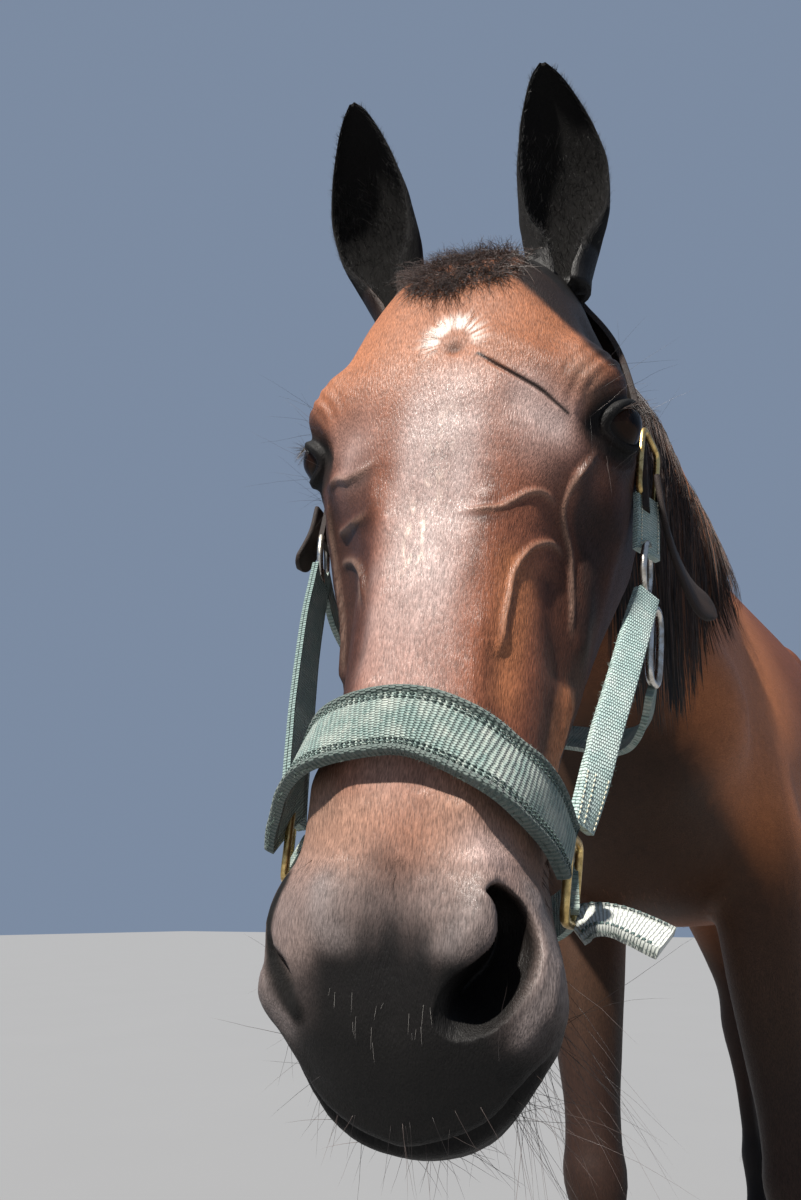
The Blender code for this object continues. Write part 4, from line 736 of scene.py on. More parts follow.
def shapeFace(hide):  # lids, nostrils, mouth, veins and creases
    local, onHead = headPart(hide)
    normal = normalsOf(hide) @ headTurn
    depth = np.where(onHead, skinSpec["coatFace"], skinSpec["coatBody"])
    local = local - normal * depth[:, None]
    move = np.zeros(len(local))
    for line, (_, width, height) in zip(veinLines(hide), veins):
        near, fade = farFrom(local, line), endFade(local, line, 0.016, 0.022)
        move += height * (1.0 if height < 0 else 1.45) * bell(near, width * 0.98) * fade * onHead
    mirrored = np.stack([np.abs(local[:, 0]), local[:, 1], local[:, 2]], 1)
    near = farFrom(mirrored, smoothPath(mouthLine, 30))
    move += onHead * (-0.0042 * bell(near, 0.0024) + 0.0014 * bell(near - 0.0075, 0.0045))
    for start, end, reach, push in swells:
        near = lengthOf(local - start) if end is None else farFrom(local, [start, end])
        move += onHead * push * bell(near, reach)
    for wart in warts:
        move += onHead * 0.0013 * bell(lengthOf(local - wart), 0.0022)
    for side in (1, -1):
        a, b, c = eyeLocal(local, side)
        out = np.sqrt(a * a + b * b)
        upper = b * side / np.maximum(out, 1e-6)
        folds = np.sin(out / 0.008 * 2 * pi + 2.0 * upper) * bell(out - 0.042, 0.009)
        move += onHead * (c > -0.01) * 0.0006 * folds * ease(0.1, 0.7, upper)
    folds = noiseAt(local, 22.0) * 0.001 + noiseAt(local, 60.0, 7.0) * 0.00035
    move += folds * onHead * ease(-0.02, 0.05, local[:, 1])
    local = local + normal * move[:, None]
    for side in (1, -1):
        local = openEye(local, side)
    setPlaces(hide, fromHead(openNostril(local)))


def openEye(local, side):
    out, along, across = eyeAxes(side)
    a, b, c = eyeLocal(local, side)
    flat = np.sqrt(a * a + b * b)
    near = (c > 0.002) & (flat < 0.042)
    e = lidOutline(a, b, side)
    drop = eyeSpec["drop"] * side
    b = b + drop
    pull = np.where((e > 0.9) & (e <= 1.0), 0.985 / np.maximum(e, 1e-6), 1.0)
    pull = np.where((e > 1.0) & (e < 1.09), 1.004 / np.maximum(e, 1e-6), pull)
    a, b = np.where(near, a * pull, a), np.where(near, b * pull, b) - drop
    radius = np.sqrt(a * a + b * b + c * c)
    ball = eyeSpec["radius"]
    upper = ease(-0.2, 0.5, (b + drop) * side / np.maximum(flat, 1e-6))
    heavy = 0.0026 * bell(e - 1.3, 0.3) + 0.0006 * bell(e - 1.95, 0.22)
    lid = ball + 0.0017 + upper * heavy + (1 - upper) * 0.0012 * bell(e - 1.28, 0.17)
    hold = 1 - ease(1.2 + 0.55 * upper, 2.35 + 0.25 * upper, e)
    wanted = np.where(e < 1.0, ball - 0.007, radius + (lid - radius) * hold)
    scale = np.where(near, wanted / np.maximum(radius, 1e-6), 1.0)
    moved = eyeCentres[side] + (a[:, None] * along + b[:, None] * across + c[:, None] * out) * scale[:, None]
    return np.where(near[:, None], moved, local)


def openNostril(local):  # the left one; its fold hangs over the opening and its wing flares
    x, y, z = nostrilLocal(local, 1)
    f = nostrilOutline(x, y, 1)
    near = (np.abs(z) < 0.04) & (f < 3.0)
    share = ease(0.02, 0.046, local[:, 0]) * ease(0.572, 0.545, local[:, 1])
    deep = (nostril["shallow"] + nostril["deep"] * share) * np.clip(1 - f, 0, 1) ** 0.55
    rim = 0.001 * bell(f - 1.25, 0.22) * ease(0.558, 0.525, local[:, 1])
    swell = 0.0052 * bell(farFrom(local, smoothPath(nostrilFold, 12)), 0.008)
    swell += 0.0022 * bell(farFrom(local, smoothPath(nostrilWing, 12)), 0.01)
    swell += 0.0028 * bell(farFrom(local, smoothPath(nostrilArch, 8)), 0.0075)
    outside = ease(0.95, 1.15, f)
    return local + (near * (deep - rim - swell * outside))[:, None] * inwards


earSpec = {
    "tips": {1: (0.0565, -0.13, -0.0125), -1: (-0.102, -0.12, -0.0245)},
    "width": [(0, 0.024), (0.15, 0.029), (0.35, 0.0355), (0.5, 0.036), (0.7, 0.03), (0.86, 0.0195),
    (0.95, 0.0105), (1, 0.002)],
    "depth": [(0, 0.024), (0.15, 0.027), (0.35, 0.027), (0.6, 0.022), (0.85, 0.011), (1, 0.002)],
    "wrap": [(0, 165), (0.12, 150), (0.3, 118), (0.55, 100), (0.85, 90), (1, 90)],
}


def earFrame(side):
    base = np.array([side * 0.063, 0.052, 0.058])
    reach = np.array(earSpec["tips"][side]) - base
    along = unit(reach)
    front = np.array([side * 0.2, 0.0, -1.0])
    front = unit(front - along * (front @ along))
    across = np.cross(along, front)
    return base, reach, front, across if across[0] * side > 0 else -across


# a point of the ear's shell: height share and turn round it
def earPoint(side, s, turn, wall=0.0, inset=1.0):
    base, reach, front, across = earFrame(side)
    half = float(curve(earSpec["width"], s))
    back = float(curve(earSpec["depth"], s))
    wrap = radians(float(curve(earSpec["wrap"], s)))
    middle = base + reach * s + (across - front) * (0.01 * sin(pi * s))
    t = turn * wrap
    x, y = sin(t) / sin(min(wrap, pi / 2)), -cos(t)
    thin = wall * (1.0 - 0.55 * abs(turn) ** 3)
    return middle + across * ((half - thin) * x * inset) + front * ((back - thin) * y + thin * 0.15)


def makeEar(side):
    rings = []
    for s in np.concatenate([np.linspace(-0.06, 0.88, 44), np.linspace(0.9, 0.997, 9)]):
        wall = 0.0032 * (1 - 0.55 * s)
        turns = np.linspace(-1, 1, 22)
        outer = [earPoint(side, s, t) for t in turns]
        inner = [earPoint(side, s, t, wall, 0.985) for t in turns]
        rings.append(outer + inner[::-1])
    return loft("ear", fromHead(np.array(rings)))


def unite(obj, other):
    join = obj.modifiers.new("join", "BOOLEAN")
    join.operation, join.solver, join.object = "UNION", "MANIFOLD", other
    applyModifiers(obj)
    bpy.data.objects.remove(other)
    return obj


# Coat colours, linear: what each patch of the horse is painted with. The pale lilac and pink entries are
# painted highlights only; cheek, dark, black, leg, orange, tan, grey and neck also serve as painted shade or
# painted light in places
coatColours = {
    "bay": (0.15, 0.046, 0.019), "face": (0.165, 0.06, 0.034), "orange": (0.275, 0.104, 0.047),
    "tan": (0.26, 0.165, 0.122),
    "cheek": (0.05, 0.018, 0.01), "dark": (0.018, 0.0085, 0.0062), "black": (0.0032, 0.0028, 0.0026),
    "muzzle": (0.02, 0.0155, 0.0145), "grey": (0.125, 0.103, 0.098), "paintedHighlight": (0.345, 0.268, 0.25),
    "white": (0.8, 0.76, 0.71),
    "neck": (0.4, 0.14, 0.05), "belly": (0.215, 0.09, 0.038), "cream": (0.62, 0.5, 0.42),
    "paintedSheen": (0.3, 0.215, 0.195), "leg": (0.03, 0.015, 0.0085),
}


def paintHide(hide):  # colour, gloss and lie of the hair at each corner of the mesh
    points = places(hide)
    local = toHead(points)
    w, u, v = local.T
    x, y, z = (points - origin).T
    colour = np.tile(np.array(coatColours["bay"]), (len(points), 1))
    gloss = np.full(len(points), 0.56)

    def paint(name, mask):
        nonlocal colour
        mask = np.clip(mask, 0, 1)[:, None]
        colour = colour * (1 - mask) + np.array(coatColours[name]) * mask

    def face(name, mask):
        paint(name, onHead * mask)

    def trunk(name, mask):
        paint(name, ~onHead * mask)

    def streaked(name, path, reach, share):
        face(name, bell(farFrom(local, path), reach) * share)

    soft = noiseAt(points, 9.0)
    fine = noiseAt(points, 45.0, 3.0)
    streak = noiseAt(np.stack([w, u * 0.18, v], 1), 130.0, 4.0)
    onHead = (np.abs(w) < 0.17) & (v < 0.29) & (u * 0.823 - (v - 0.075) * 0.567 > -0.006)
    # Trunk and neck: warm on the side of the neck, brightened there as painted light; painted shade on the
    # neck's underline; a painted sunlit patch on the left of the neck and shoulder; painted shadow on the
    # breast and between the forelegs
    trunk("neck", ease(0.25, -0.1, y) * (0.9 + 0.1 * soft))
    trunk("belly", ease(1.05, 0.88, z) * ease(0.0, 0.2, y) * 0.35 * (z > 0.7))
    trunk("cheek", ease(-0.15, 0.75, soft) * 0.35)
    # painted shade: the neck's underline darkened where it faces down, towards the breast
    under = curve([(row[2], row[3]) for row in neckRows], -y)
    trunk("dark", ease(0.1, -0.02, z - under) * ease(-0.2, -0.34, y) * 0.75)
    # painted shadow: the head's shadow over the breast and between the forelegs, in the leg colour; its edge
    # lies lower on the left side
    rim = 1.12 - 0.19 * ease(0.1, 0.18, x)
    # painted light: a sunlit orange patch on the left side of the neck and shoulder
    trunk("orange", ease(0.1, 0.18, x) * ease(0.15, -0.1, y) * ease(0.95, 1.05, z) * 0.4)
    trunk("leg", ease(rim + 0.08, rim - 0.08, z + 0.02 * soft) * ease(0.06, -0.16, y) * 0.95)
    trunk("cheek", ease(0.12, 0.05, np.abs(x)) * ease(1.45, 1.56, z) * 0.5)
    crestHeight = curve(column(neckRows, 1), -y)
    trunk("dark", ease(0.06, -0.1, y) * ease(0.07, 0.015, crestHeight - z) * ease(1.2, 1.28, z))
    # Points: legs black from above the knee and hock
    rise = 0.66 + 0.05 * soft + 0.02 * fine
    trunk("leg", ease(rise + 0.22, rise + 0.03, z) * 0.85)
    trunk("dark", ease(rise + 0.08, rise - 0.05, z) * 0.8)
    trunk("black", ease(0.45, 0.25, z) * 0.8)
    # Face: warm brow, a painted highlight down the bridge, painted shade on the cheeks and sides
    paint("face", onHead)
    face("orange", ease(0.26, 0.165, u + 0.18 * np.abs(w)) * ease(0.1, 0.05, v) * (0.8 + 0.2 * soft))
    # Painted shadow of the left ear, cast across the forehead below it
    beyond = (w - 0.0478) * 0.7433 - (u - 0.101) * 0.4749 - (v - 0.01) * 0.4711 + 0.0016 * fine
    shadow = ease(-0.007, -0.003, beyond) * ease(0.036, 0.045, w) * ease(0.215, 0.19, u)
    # painted shade: the sides of the head darken further back from the front of the face
    face("cheek", ease(0.03, 0.062, v + 0.01 * fine) * ease(0.0, 0.03, u) * 0.92)
    face("dark", ease(0.05, 0.085, v + 0.012 * fine) * ease(0.05, 0.12, u) * 0.55)
    # painted shade on the face's side planes beyond the nose, starting nearer the middle on the right side
    wide = np.abs(w - 0.003) / 0.072 + 0.08 * fine
    flank = np.where(w > 0, ease(0.66, 0.9, wide), ease(0.47, 0.66, wide))
    face("cheek", flank * ease(0.25, 0.3, u) * ease(0.5, 0.45, u) * 0.8)
    streaked("orange", [(0.045, 0.33, 0.02), (0.044, 0.405, 0.022)], 0.011, 0.95)
    # painted highlight: a pale pink sheen down the bridge of the nose
    ridge = [(0.2, 0.004), (0.245, 0.002), (0.29, -0.001), (0.33, -0.006), (0.38, -0.01), (0.5, -0.004)]
    middle = curve(ridge, u)
    bridgeHighlight = bell(np.abs(w - middle + 0.002 * fine), 0.0275, 4) * ease(0.185, 0.24, u)
    bridgeHighlight = bridgeHighlight * (1 - 0.45 * ease(0.33, 0.4, u)) * ease(0.49, 0.43, u)
    face("paintedHighlight", bridgeHighlight * np.clip(0.76 + 0.16 * fine + 0.14 * streak, 0, 1))
    # painted shade along the bridge's left edge, where the face turns to the side
    edge = (np.abs(w - middle - 0.0315) / 0.0045) ** 2
    face("cheek", np.exp(-edge) * ease(0.262, 0.285, u) * ease(0.355, 0.335, u) * 0.55)
    # painted shade on the right side of the face below the eye
    face("dark", ease(-0.04, -0.05, w) * ease(0.225, 0.265, u) * ease(0.48, 0.43, u) * 0.55)
    # painted highlight: a weaker pale strip on the upper bridge below the whorl
    face("paintedHighlight", bell(w - 0.004, 0.022) * ease(0.18, 0.205, u) * ease(0.3, 0.24, u) * 0.3)
    lines = veinLines(hide)
    # painted light and shade on the veins: a pale line along each crest and a dark line just below it, where
    # its shadow falls
    for line in lines[:browCrease]:
        fade = endFade(local, line, 0.02, 0.02)
        face("tan", fade * bell(farFrom(local, line), 0.0022) * 0.45)
        face("dark", fade * bell(farFrom(local, line + (0.002, 0.005, 0.002)), 0.0026) * 0.5)
    streaked("orange", [(0.0607, 0.32, 0.028), (0.053, 0.35, 0.026), (0.0455, 0.378, 0.024)], 0.0085, 0.75)
    # painted shade on the side plane beyond the bridge on the left, where the face turns from the light
    shade = [(0.24, 0.088), (0.266, 0.0755), (0.281, 0.071), (0.303, 0.0735), (0.36, 0.0715), (0.4, 0.072)]
    right = curve(shade, u)
    beside = ease(0.0015, 0.0055, w - right + 0.001 * fine) * ease(0.25, 0.272, u) * ease(0.4, 0.375, u)
    face("dark", beside * ease(0.09, 0.07, v + 0.008 * fine) * 0.88)
    # painted shade in the hollow under the second vein's arc
    streaked("dark", [(0.0625, 0.328, 0.045), (0.067, 0.352, 0.047), (0.0737, 0.374, 0.05)], 0.0062, 0.85)
    # painted light: a sunlit orange patch low on the left side of the nose
    lit = farFrom(local, [(0.069, 0.398, 0.072), (0.064, 0.432, 0.07)])
    face("orange", ease(0.019, 0.013, lit + 0.003 * fine) * 0.95)
    # painted highlight: pale lilac sheen on both sides of the face near the eyes, stronger on the left
    for side in (1, -1):
        hollow = lengthOf((local - (side * 0.062, 0.234, 0.01)) / (0.022, 0.028, 0.03))
        face("paintedSheen", np.exp(-hollow ** 2) * (0.62 + 0.3 * fine) * (1.45 if side > 0 else 0.9))
    temple = lengthOf((local - (0.05, 0.216, 0.002)) / (0.016, 0.016, 0.02))
    face("paintedSheen", np.exp(-temple ** 2) * 0.75)
    # painted light on the left brow ridge
    streaked("tan", [(0.08, 0.196, 0.016), (0.096, 0.214, 0.034)], 0.011, 0.8)
    for side in (1, -1):
        a, b, c = eyeLocal(local, side)
        e = lidOutline(a, b, side)
        flat = np.sqrt(a * a + b * b)
        # dark and black round the eye: the dark skin of the lids, spread wider as painted shade in the socket
        face("dark", (c > -0.01) * ease(0.041, 0.027, flat + 0.004 * fine) * 0.8)
        face("black", (c > -0.01) * ease(2.35, 1.55, e + 0.15 * fine))
        # painted shade in the hollow below the eye
        streaked("dark", [(side * 0.0905, 0.236, 0.033), (side * 0.084, 0.262, 0.038)], 0.01, 0.8)
        gloss = np.where(onHead & (c > 0) & (e < 2.2), 0.85, gloss)
        gloss = np.where(onHead & (c > 0) & (e < 1.06), 0.35, gloss)
    # painted shadow of the left ear laid over the forehead
    face("dark", shadow * 0.92)
    face("black", shadow * 0.75)
    # Star: an arch of white hair round the dark whorl, and a few white flecks on the nose
    ring = np.hypot((w - 0.0062) / 0.0135, (u - 0.1755) / 0.0165)
    turn = np.arctan2(-(u - 0.1755), w - 0.0062)
    rays = noiseAt(np.stack([np.cos(turn) * 0.02, np.sin(turn) * 0.02, ring * 0.002], 1), 420.0, 5.0)
    arch = ease(-0.55, 0.35, np.sin(turn) + 0.25 * rays) * (1 - 0.45 * ease(0.2, 1.0, np.cos(turn)))
    width = np.where(ring > 1, 0.46 + 0.3 * rays, 0.22)
    star = bell(ring - 1.0, width) * arch * ease(-0.45, 0.2, rays + 0.15)
    face("white", (v < 0.05) * star * 0.85)
    face("dark", (v < 0.05) * bell(np.hypot(w - 0.0062, u - 0.179), 0.0062) * 0.65)
    fleck = noiseAt(local * (1.0, 0.3, 1.0), 330.0, 9.0) + 0.35 * noiseAt(local, 60.0, 2.0)
    line = bell(w + 0.004 - 0.16 * (0.285 - u), 0.0085) * ease(0.21, 0.25, u) * ease(0.345, 0.32, u)
    strong = 0.4 + 0.6 * ease(0.285, 0.3, u)
    face("cream", (v < 0.05) * line * strong * ease(0.05, 0.45, fleck) * 0.75)
    # Crease from the whorl to the brow, painted black as shade in the groove
    streaked("black", lines[browCrease], 0.00125, 0.95)
    # Muzzle: tan above the nostrils, grey on their wings, black between them and on the lips
    mirrored = np.stack([np.abs(w), u, v], 1)
    face("tan", ease(0.44, 0.47, u + 0.006 * fine) * ease(0.11, 0.05, v) * (0.62 - 0.9 * bell(w, 0.02) * 0.3))
    face("grey", ease(0.478, 0.52, u + 0.16 * np.maximum(w, -0.3 * w) + 0.008 * fine) * 0.8)
    face("muzzle", bell(w + 0.004, 0.02) * ease(0.478, 0.5, u + 0.01 * streak) * 0.45)
    # painted highlight on the arch above the left nostril
    above = lengthOf((local - (0.042, 0.486, 0.014)) / (0.016, 0.013, 0.02))
    face("paintedSheen", np.exp(-above ** 2) * 0.95)
    face("muzzle", ease(0.497, 0.53, u) * bell(w + 0.006, 0.026) * 0.7)
    face("muzzle", ease(0.52, 0.548, u + 0.3 * (0.03 - np.abs(w)) + 0.004 * streak) * 0.94)
    face("black", ease(0.514, 0.54, u + 0.009 * streak) * ease(0.05, 0.034, np.abs(w - 0.004)) * 0.97)
    face("black", ease(0.556, 0.572, u - 0.1 * np.maximum(np.abs(w) - 0.04, 0)) * 0.97)
    # right nostril: its wing in grey skin colour, lightened as painted light on the rim, and painted shade in
    # its slit, which is only a shallow groove
    streaked("grey", lines[rightNostril] + (-0.009, 0.006, 0.006), 0.008, 0.9)
    slit = bell(farFrom(local, lines[rightNostril]), 0.0062, 4)
    face("black", slit)
    gloss = np.where(onHead & (slit > 0.4), 1.0, gloss)
    nx, ny, nz = nostrilLocal(local, 1)
    f = nostrilOutline(nx, ny, 1)
    near = np.abs(nz) < 0.05
    outer = ease(0.048, 0.058, np.abs(w)) * ease(0.57, 0.562, u)
    face("grey", near * bell(f - 1.6, 0.5) * outer * 0.92)
    # painted highlight: grey sheen on the fold over the nostril
    pad = farFrom(mirrored, smoothPath(nostrilFold, 12))
    face("grey", near * bell(pad, 0.009) * ease(0.54, 0.526, u) * 0.85)
    # painted shade inside the nostril's opening
    face("black", near * ease(1.1, 0.92, f) * 0.98)
    # black along the mouth line: partly the dark skin of the lips, partly painted shade in the crease
    near = farFrom(mirrored, smoothPath(mouthLine, 30))
    face("black", bell(near, 0.0035) * 0.9)
    # black under the chin: partly the dark skin there, partly painted shade where the muzzle faces down
    face("black", ease(0.06, 0.075, v) * ease(0.53, 0.57, u) * 0.7)
    # Ears: black inside, near black outside with brown only at the base
    normal = normalsOf(hide) @ headTurn
    for side in (1, -1):
        base, reach, front, _ = earFrame(side)
        gap = local - base
        share = gap @ reach / (reach @ reach)
        onEar = (share > 0.1) & (lengthOf(gap - share[:, None] * reach) < 0.055) & (u < 0.045)
        facing = normal @ front
        root = onHead & (lengthOf(gap - np.clip(share, -0.25, 1)[:, None] * reach) < 0.045) & (u < 0.1)
        paint("black", root * ease(-0.26, -0.08, share + 0.05 * fine) * 0.92)
        paint("dark", onEar * ease(0.05, 0.25, share) * 0.95)
        paint("black", onEar * np.clip(ease(-0.5, 0.3, facing) + ease(0.15, 0.5, share), 0, 1))
        gloss = np.where(onEar, 1.0, gloss)
    colour = colour * (1 + 0.14 * soft[:, None] + 0.1 * fine[:, None])
    shiny = onHead * ease(0.15, 0.225, u) * ease(0.56, 0.5, u) * ease(0.06, 0.03, v)
    gloss = gloss - 0.2 * shiny + 0.05 * soft + 0.05 * fine * onHead
    lie = np.stack([x, 0.16 * y, z], 1)
    lower = ease(0.95, 0.75, z)[:, None]
    lie = lie * (1 - lower) + np.stack([x, y * 0.8, 0.9 + (z - 0.9) * 0.16], 1) * lower
    lie = np.where(onHead[:, None], np.stack([w, 0.16 * u, v], 1), lie)
    writeCoat(hide.data, colour)
    writeLayer(hide.data, "lie", "FLOAT_VECTOR", lie)
    writeLayer(hide.data, "gloss", "FLOAT", gloss)


def writeLayer(mesh, name, kind, data):  # a value for each corner of the mesh, for its material
    layer = mesh.attributes.new(name, kind, "POINT")
    field = {"FLOAT_COLOR": "color", "FLOAT_VECTOR": "vector", "FLOAT": "value"}[kind]
    layer.data.foreach_set(field, np.asarray(data, np.float32).reshape(-1))


def writeCoat(mesh, colour):
    colour = np.reshape(colour, (-1, 3))
    writeLayer(mesh, "coat", "FLOAT_COLOR", np.concatenate([colour, np.ones((len(colour), 1))], 1))


def writeMap(mesh, name, flat):  # a flat place for each corner of the mesh
    layer = mesh.uv_layers.new(name=name)
    corner = np.zeros(len(mesh.loops), np.int32)
    mesh.loops.foreach_get("vertex_index", corner)
    layer.data.foreach_set("uv", flat[corner].astype(np.float32).reshape(-1))


class Shader:  # a short way to lay out a material's nodes
    def __init__(self, name):
        self.material = bpy.data.materials.new(name)
        self.material.use_nodes = True
        self.tree = self.material.node_tree
        self.body = self.tree.nodes["Principled BSDF"]

    def set(self, **values):
        for key, value in values.items():
            self.body.inputs[key.replace("_", " ")].default_value = value
        return self.material

    def add(self, kind, inputs=None, **settings):
        node = self.tree.nodes.new("ShaderNode" + kind)
        for key, value in settings.items():
            setattr(node, key, value)
        for key, value in (inputs or {}).items():
            if hasattr(value, "is_output"):
                self.tree.links.new(value, node.inputs[key])
            else:
                node.inputs[key].default_value = value
        return node

    def attribute(self, name, output="Color"):
        return self.add("Attribute", attribute_name=name).outputs[output]

    def scaled(self, name, tone):
        return self.add("VectorMath", {0: self.attribute(name), "Scale": tone}, operation="SCALE").outputs[0]

    def place(self):
        return self.add("TexCoord").outputs["Object"]

    def grain(self, *settings):  # noise in the object's own place
        return self.noise(self.place(), *settings)

    def stretched(self, vector, scale):
        return self.add("Mapping", {"Vector": vector, "Scale": scale}).outputs["Vector"]

    def noise(self, vector, scale, detail=3.0, rough=0.55, distortion=0.0):
        inputs = {"Vector": vector, "Scale": scale, "Detail": detail}
        inputs.update(Roughness=rough, Distortion=distortion)
        return self.add("TexNoise", inputs).outputs["Fac"]

    def cells(self, vector, scale):
        return self.add("TexVoronoi", {"Vector": vector, "Scale": scale}, feature="F1").outputs["Distance"]

    def span(self, value, low, high, toLow=0.0, toHigh=1.0):
        inputs = {0: value, 1: low, 2: high, 3: toLow, 4: toHigh}
        return self.add("MapRange", inputs).outputs[0]

    def evenly(self, value, toLow, toHigh):  # over the usual reach of a noise
        return self.span(value, 0.3, 0.7, toLow, toHigh)

    def math(self, operation, a, b=0.0):
        return self.add("Math", {0: a, 1: b}, operation=operation).outputs[0]

    def plus(self, a, b):
        return self.math("ADD", a, b)

    def times(self, a, b):
        return self.math("MULTIPLY", a, b)

    def mix(self, factor, a, b):
        a, b = ((*value, 1.0) if isinstance(value, tuple) else value for value in (a, b))
        return self.add("Mix", {0: factor, 6: a, 7: b}, data_type="RGBA", blend_type="MIX").outputs[2]

    def feed(self, entry, value):
        self.tree.links.new(value, self.body.inputs[entry])
        return self

    def colour(self, value):
        return self.feed("Base Color", value)

    def rough(self, value):
        return self.feed("Roughness", value)

    def bump(self, height, distance, strength=1.0, under=None):
        inputs = {"Height": height, "Distance": distance, "Strength": strength}
        if under is not None:
            inputs["Normal"] = under
        return self.add("Bump", inputs).outputs["Normal"]

    def normal(self, value):
        return self.feed("Normal", value)


def wear(obj, material):
    obj.data.materials.clear()
    obj.data.materials.append(material)
    return obj


def smoothed(obj, angle=None):
    obj.data.polygons.foreach_set("use_smooth", np.ones(len(obj.data.polygons), bool))
    if angle is not None:
        select(obj)
        bpy.ops.object.shade_smooth_by_angle(angle=radians(angle))
    return obj


def placed(obj, slot, *replaced):  # rides on the horse and hides the solids that it stands for; slot, its finish, is not used
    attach(obj, bodyName)
    if replaced:
        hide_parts(*replaced)
    return obj


bodyName = list(frame["bodies"])[0]

# Short hair: how deep and how fine the lie of the coat reads
coatLook = {"strand": 1500.0, "depth": 0.00055, "contrast": 0.4, "patch": 95.0}


def makeCoatMaterial():
    look = Shader("shortCoat")
    lie = look.attribute("lie", "Vector")
    strands = look.noise(lie, coatLook["strand"], 2.0, 0.6)
    locks = look.noise(lie, coatLook["strand"] * 0.28, 3.0, 0.6, 0.4)
    patch = look.grain(coatLook["patch"], 4.0, 0.6)
    tone = look.span(strands, 0.32, 0.68, 1 - coatLook["contrast"], 1 + coatLook["contrast"])
    tone = look.times(tone, look.evenly(locks, 0.9, 1.11))
    tone = look.times(tone, look.evenly(patch, 0.9, 1.1))
    look.colour(look.scaled("coat", tone))
    base = look.attribute("gloss", "Fac")
    look.rough(look.plus(base, look.evenly(strands, 0.1, -0.1)))
    under = look.bump(locks, coatLook["depth"] * 1.3, 0.5)
    look.normal(look.bump(strands, coatLook["depth"], 0.85, under))
    return look.set(Specular_IOR_Level=0.2)


def makeHairMaterial():
    look = Shader("longHair")
    look.colour(look.attribute("coat"))
    look.rough(look.evenly(look.grain(260.0, 2.0), 0.34, 0.52))
    return look.set(Specular_IOR_Level=0.45)


def bakePatch(points):  # where a root lies on an unwrap of the horse's own form
    points = np.asarray(points, float) - origin
    local = toHead(points + origin)
    x, y, z = points.T
    onHead = (np.abs(local[:, 0]) < 0.2) & (local[:, 1] > -0.06) & (local[:, 2] < 0.32)
    leg = (z < 0.8) & (y < 1.15) | (z < 0.7)
    around = np.arctan2(x, z - 1.22)
    flat = np.stack([0.02 + (y + 1.1) / 2.6 * 0.55, 0.5 + around / (2 * pi) * 0.95], 1)
    turn = np.arctan2(local[:, 0], 0.12 - local[:, 2])
    headFlat = np.stack([0.6 + (turn / (2 * pi) + 0.5) * 0.38,
            0.55 + (local[:, 1] + 0.06) / 0.7 * 0.43], 1)
    legNumber = (x > 0).astype(int) + 2 * (y > 0.5)
    legTurn = np.arctan2(x - np.sign(x) * 0.13, np.where(y > 0.5, 1.19, -0.1) - y)
    legAcross = 0.6 + legNumber * 0.1 + (legTurn / (2 * pi) + 0.5) * 0.09
    legFlat = np.stack([legAcross, 0.02 + np.clip(z, 0, 1.6) / 1.7 * 0.5], 1)
    return np.where(onHead[:, None], headFlat, np.where(leg[:, None], legFlat, flat))


def hairMesh(name, paths, radius, colour, sides=3):  # tapered hairs, each closed at its root and its tip
    paths = np.asarray(paths, float)
    count, steps = paths.shape[:2]
    tangent = np.gradient(paths, axis=1)
    tangent /= np.maximum(np.linalg.norm(tangent, axis=2, keepdims=True), 1e-9)
    across = np.cross(tangent, np.array([0.31, 0.52, 0.79]))
    across /= np.maximum(np.linalg.norm(across, axis=2, keepdims=True), 1e-9)
    up = np.cross(tangent, across)
    rings = steps - 1
    radius = np.broadcast_to(np.asarray(radius, float).reshape(-1, 1),
            (count, 1)) if np.ndim(radius) < 2 else radius
    taper = np.linspace(1.0, 0.35, rings)[None, :] if radius.shape[1] == 1 else 1.0
    wide = (radius * taper)[:, :rings, None]
    loops = []
    for k in range(sides):
        t = 2 * pi * k / sides
        outwards = across[:, :rings] * cos(t) + up[:, :rings] * sin(t)
        loops.append(paths[:, :rings] + outwards * wide)
    body = np.stack(loops, 2).reshape(count, rings * sides, 3)
    points = np.concatenate([body, paths[:, -1:]], 1)
    each = rings * sides + 1
    start = (np.arange(count) * each)[:, None, None]
    i, k = np.meshgrid(np.arange(rings - 1), np.arange(sides), indexing="ij")
    n = (k + 1) % sides
    quads = ringQuads(i, k, i + 1, n, sides)[None]
    k = np.arange(sides)
    tips = np.stack([(rings - 1) * sides + k, (rings - 1) * sides + (k + 1) % sides,
            np.full(sides, rings * sides)], -1)
    root = np.array([[0, sides - 1 - j, sides - 2 - j] for j in range(sides - 2)])
    triangles = np.concatenate([tips, root])[None]
    quads, triangles = (quads + start).reshape(-1, 4), (triangles + start).reshape(-1, 3)
    obj = meshFromArrays(name, points, quads, triangles)
    mesh = obj.data
    patch = bakePatch(paths[:, 0])
    step = np.concatenate([np.repeat(np.arange(rings), sides), [rings]]) / rings
    around = np.concatenate([np.tile(np.arange(sides), rings), [0]]) / sides
    uv = patch[:, None] + np.stack([around, step], -1)[None] * 0.003
    writeMap(mesh, "OFBake", uv.reshape(-1, 2))
    colour = np.repeat(np.broadcast_to(colour, (count, 3))[:, None], each, 1)
    writeCoat(mesh, colour * (0.75 + 0.5 * step)[None, :, None])
    smoothed(obj)
    return wear(obj, hairMaterial)


coatMaterial = makeCoatMaterial()
hairMaterial = makeHairMaterial()

hide = makeHide()
shapeFace(hide)
for side in (1, -1):
    unite(hide, makeEar(side))
paintHide(hide)
smoothed(hide)
wear(hide, coatMaterial)
fleshNodes = ["head", "neck", "torso", "ear_left", "ear_right"] + [n for n in nodes if n.startswith("leg_")]
placed(hide, "coat_bay", *fleshNodes)
print("horse: skin,", len(hide.data.polygons), "faces")

skinTree = surfaceTree(hide)


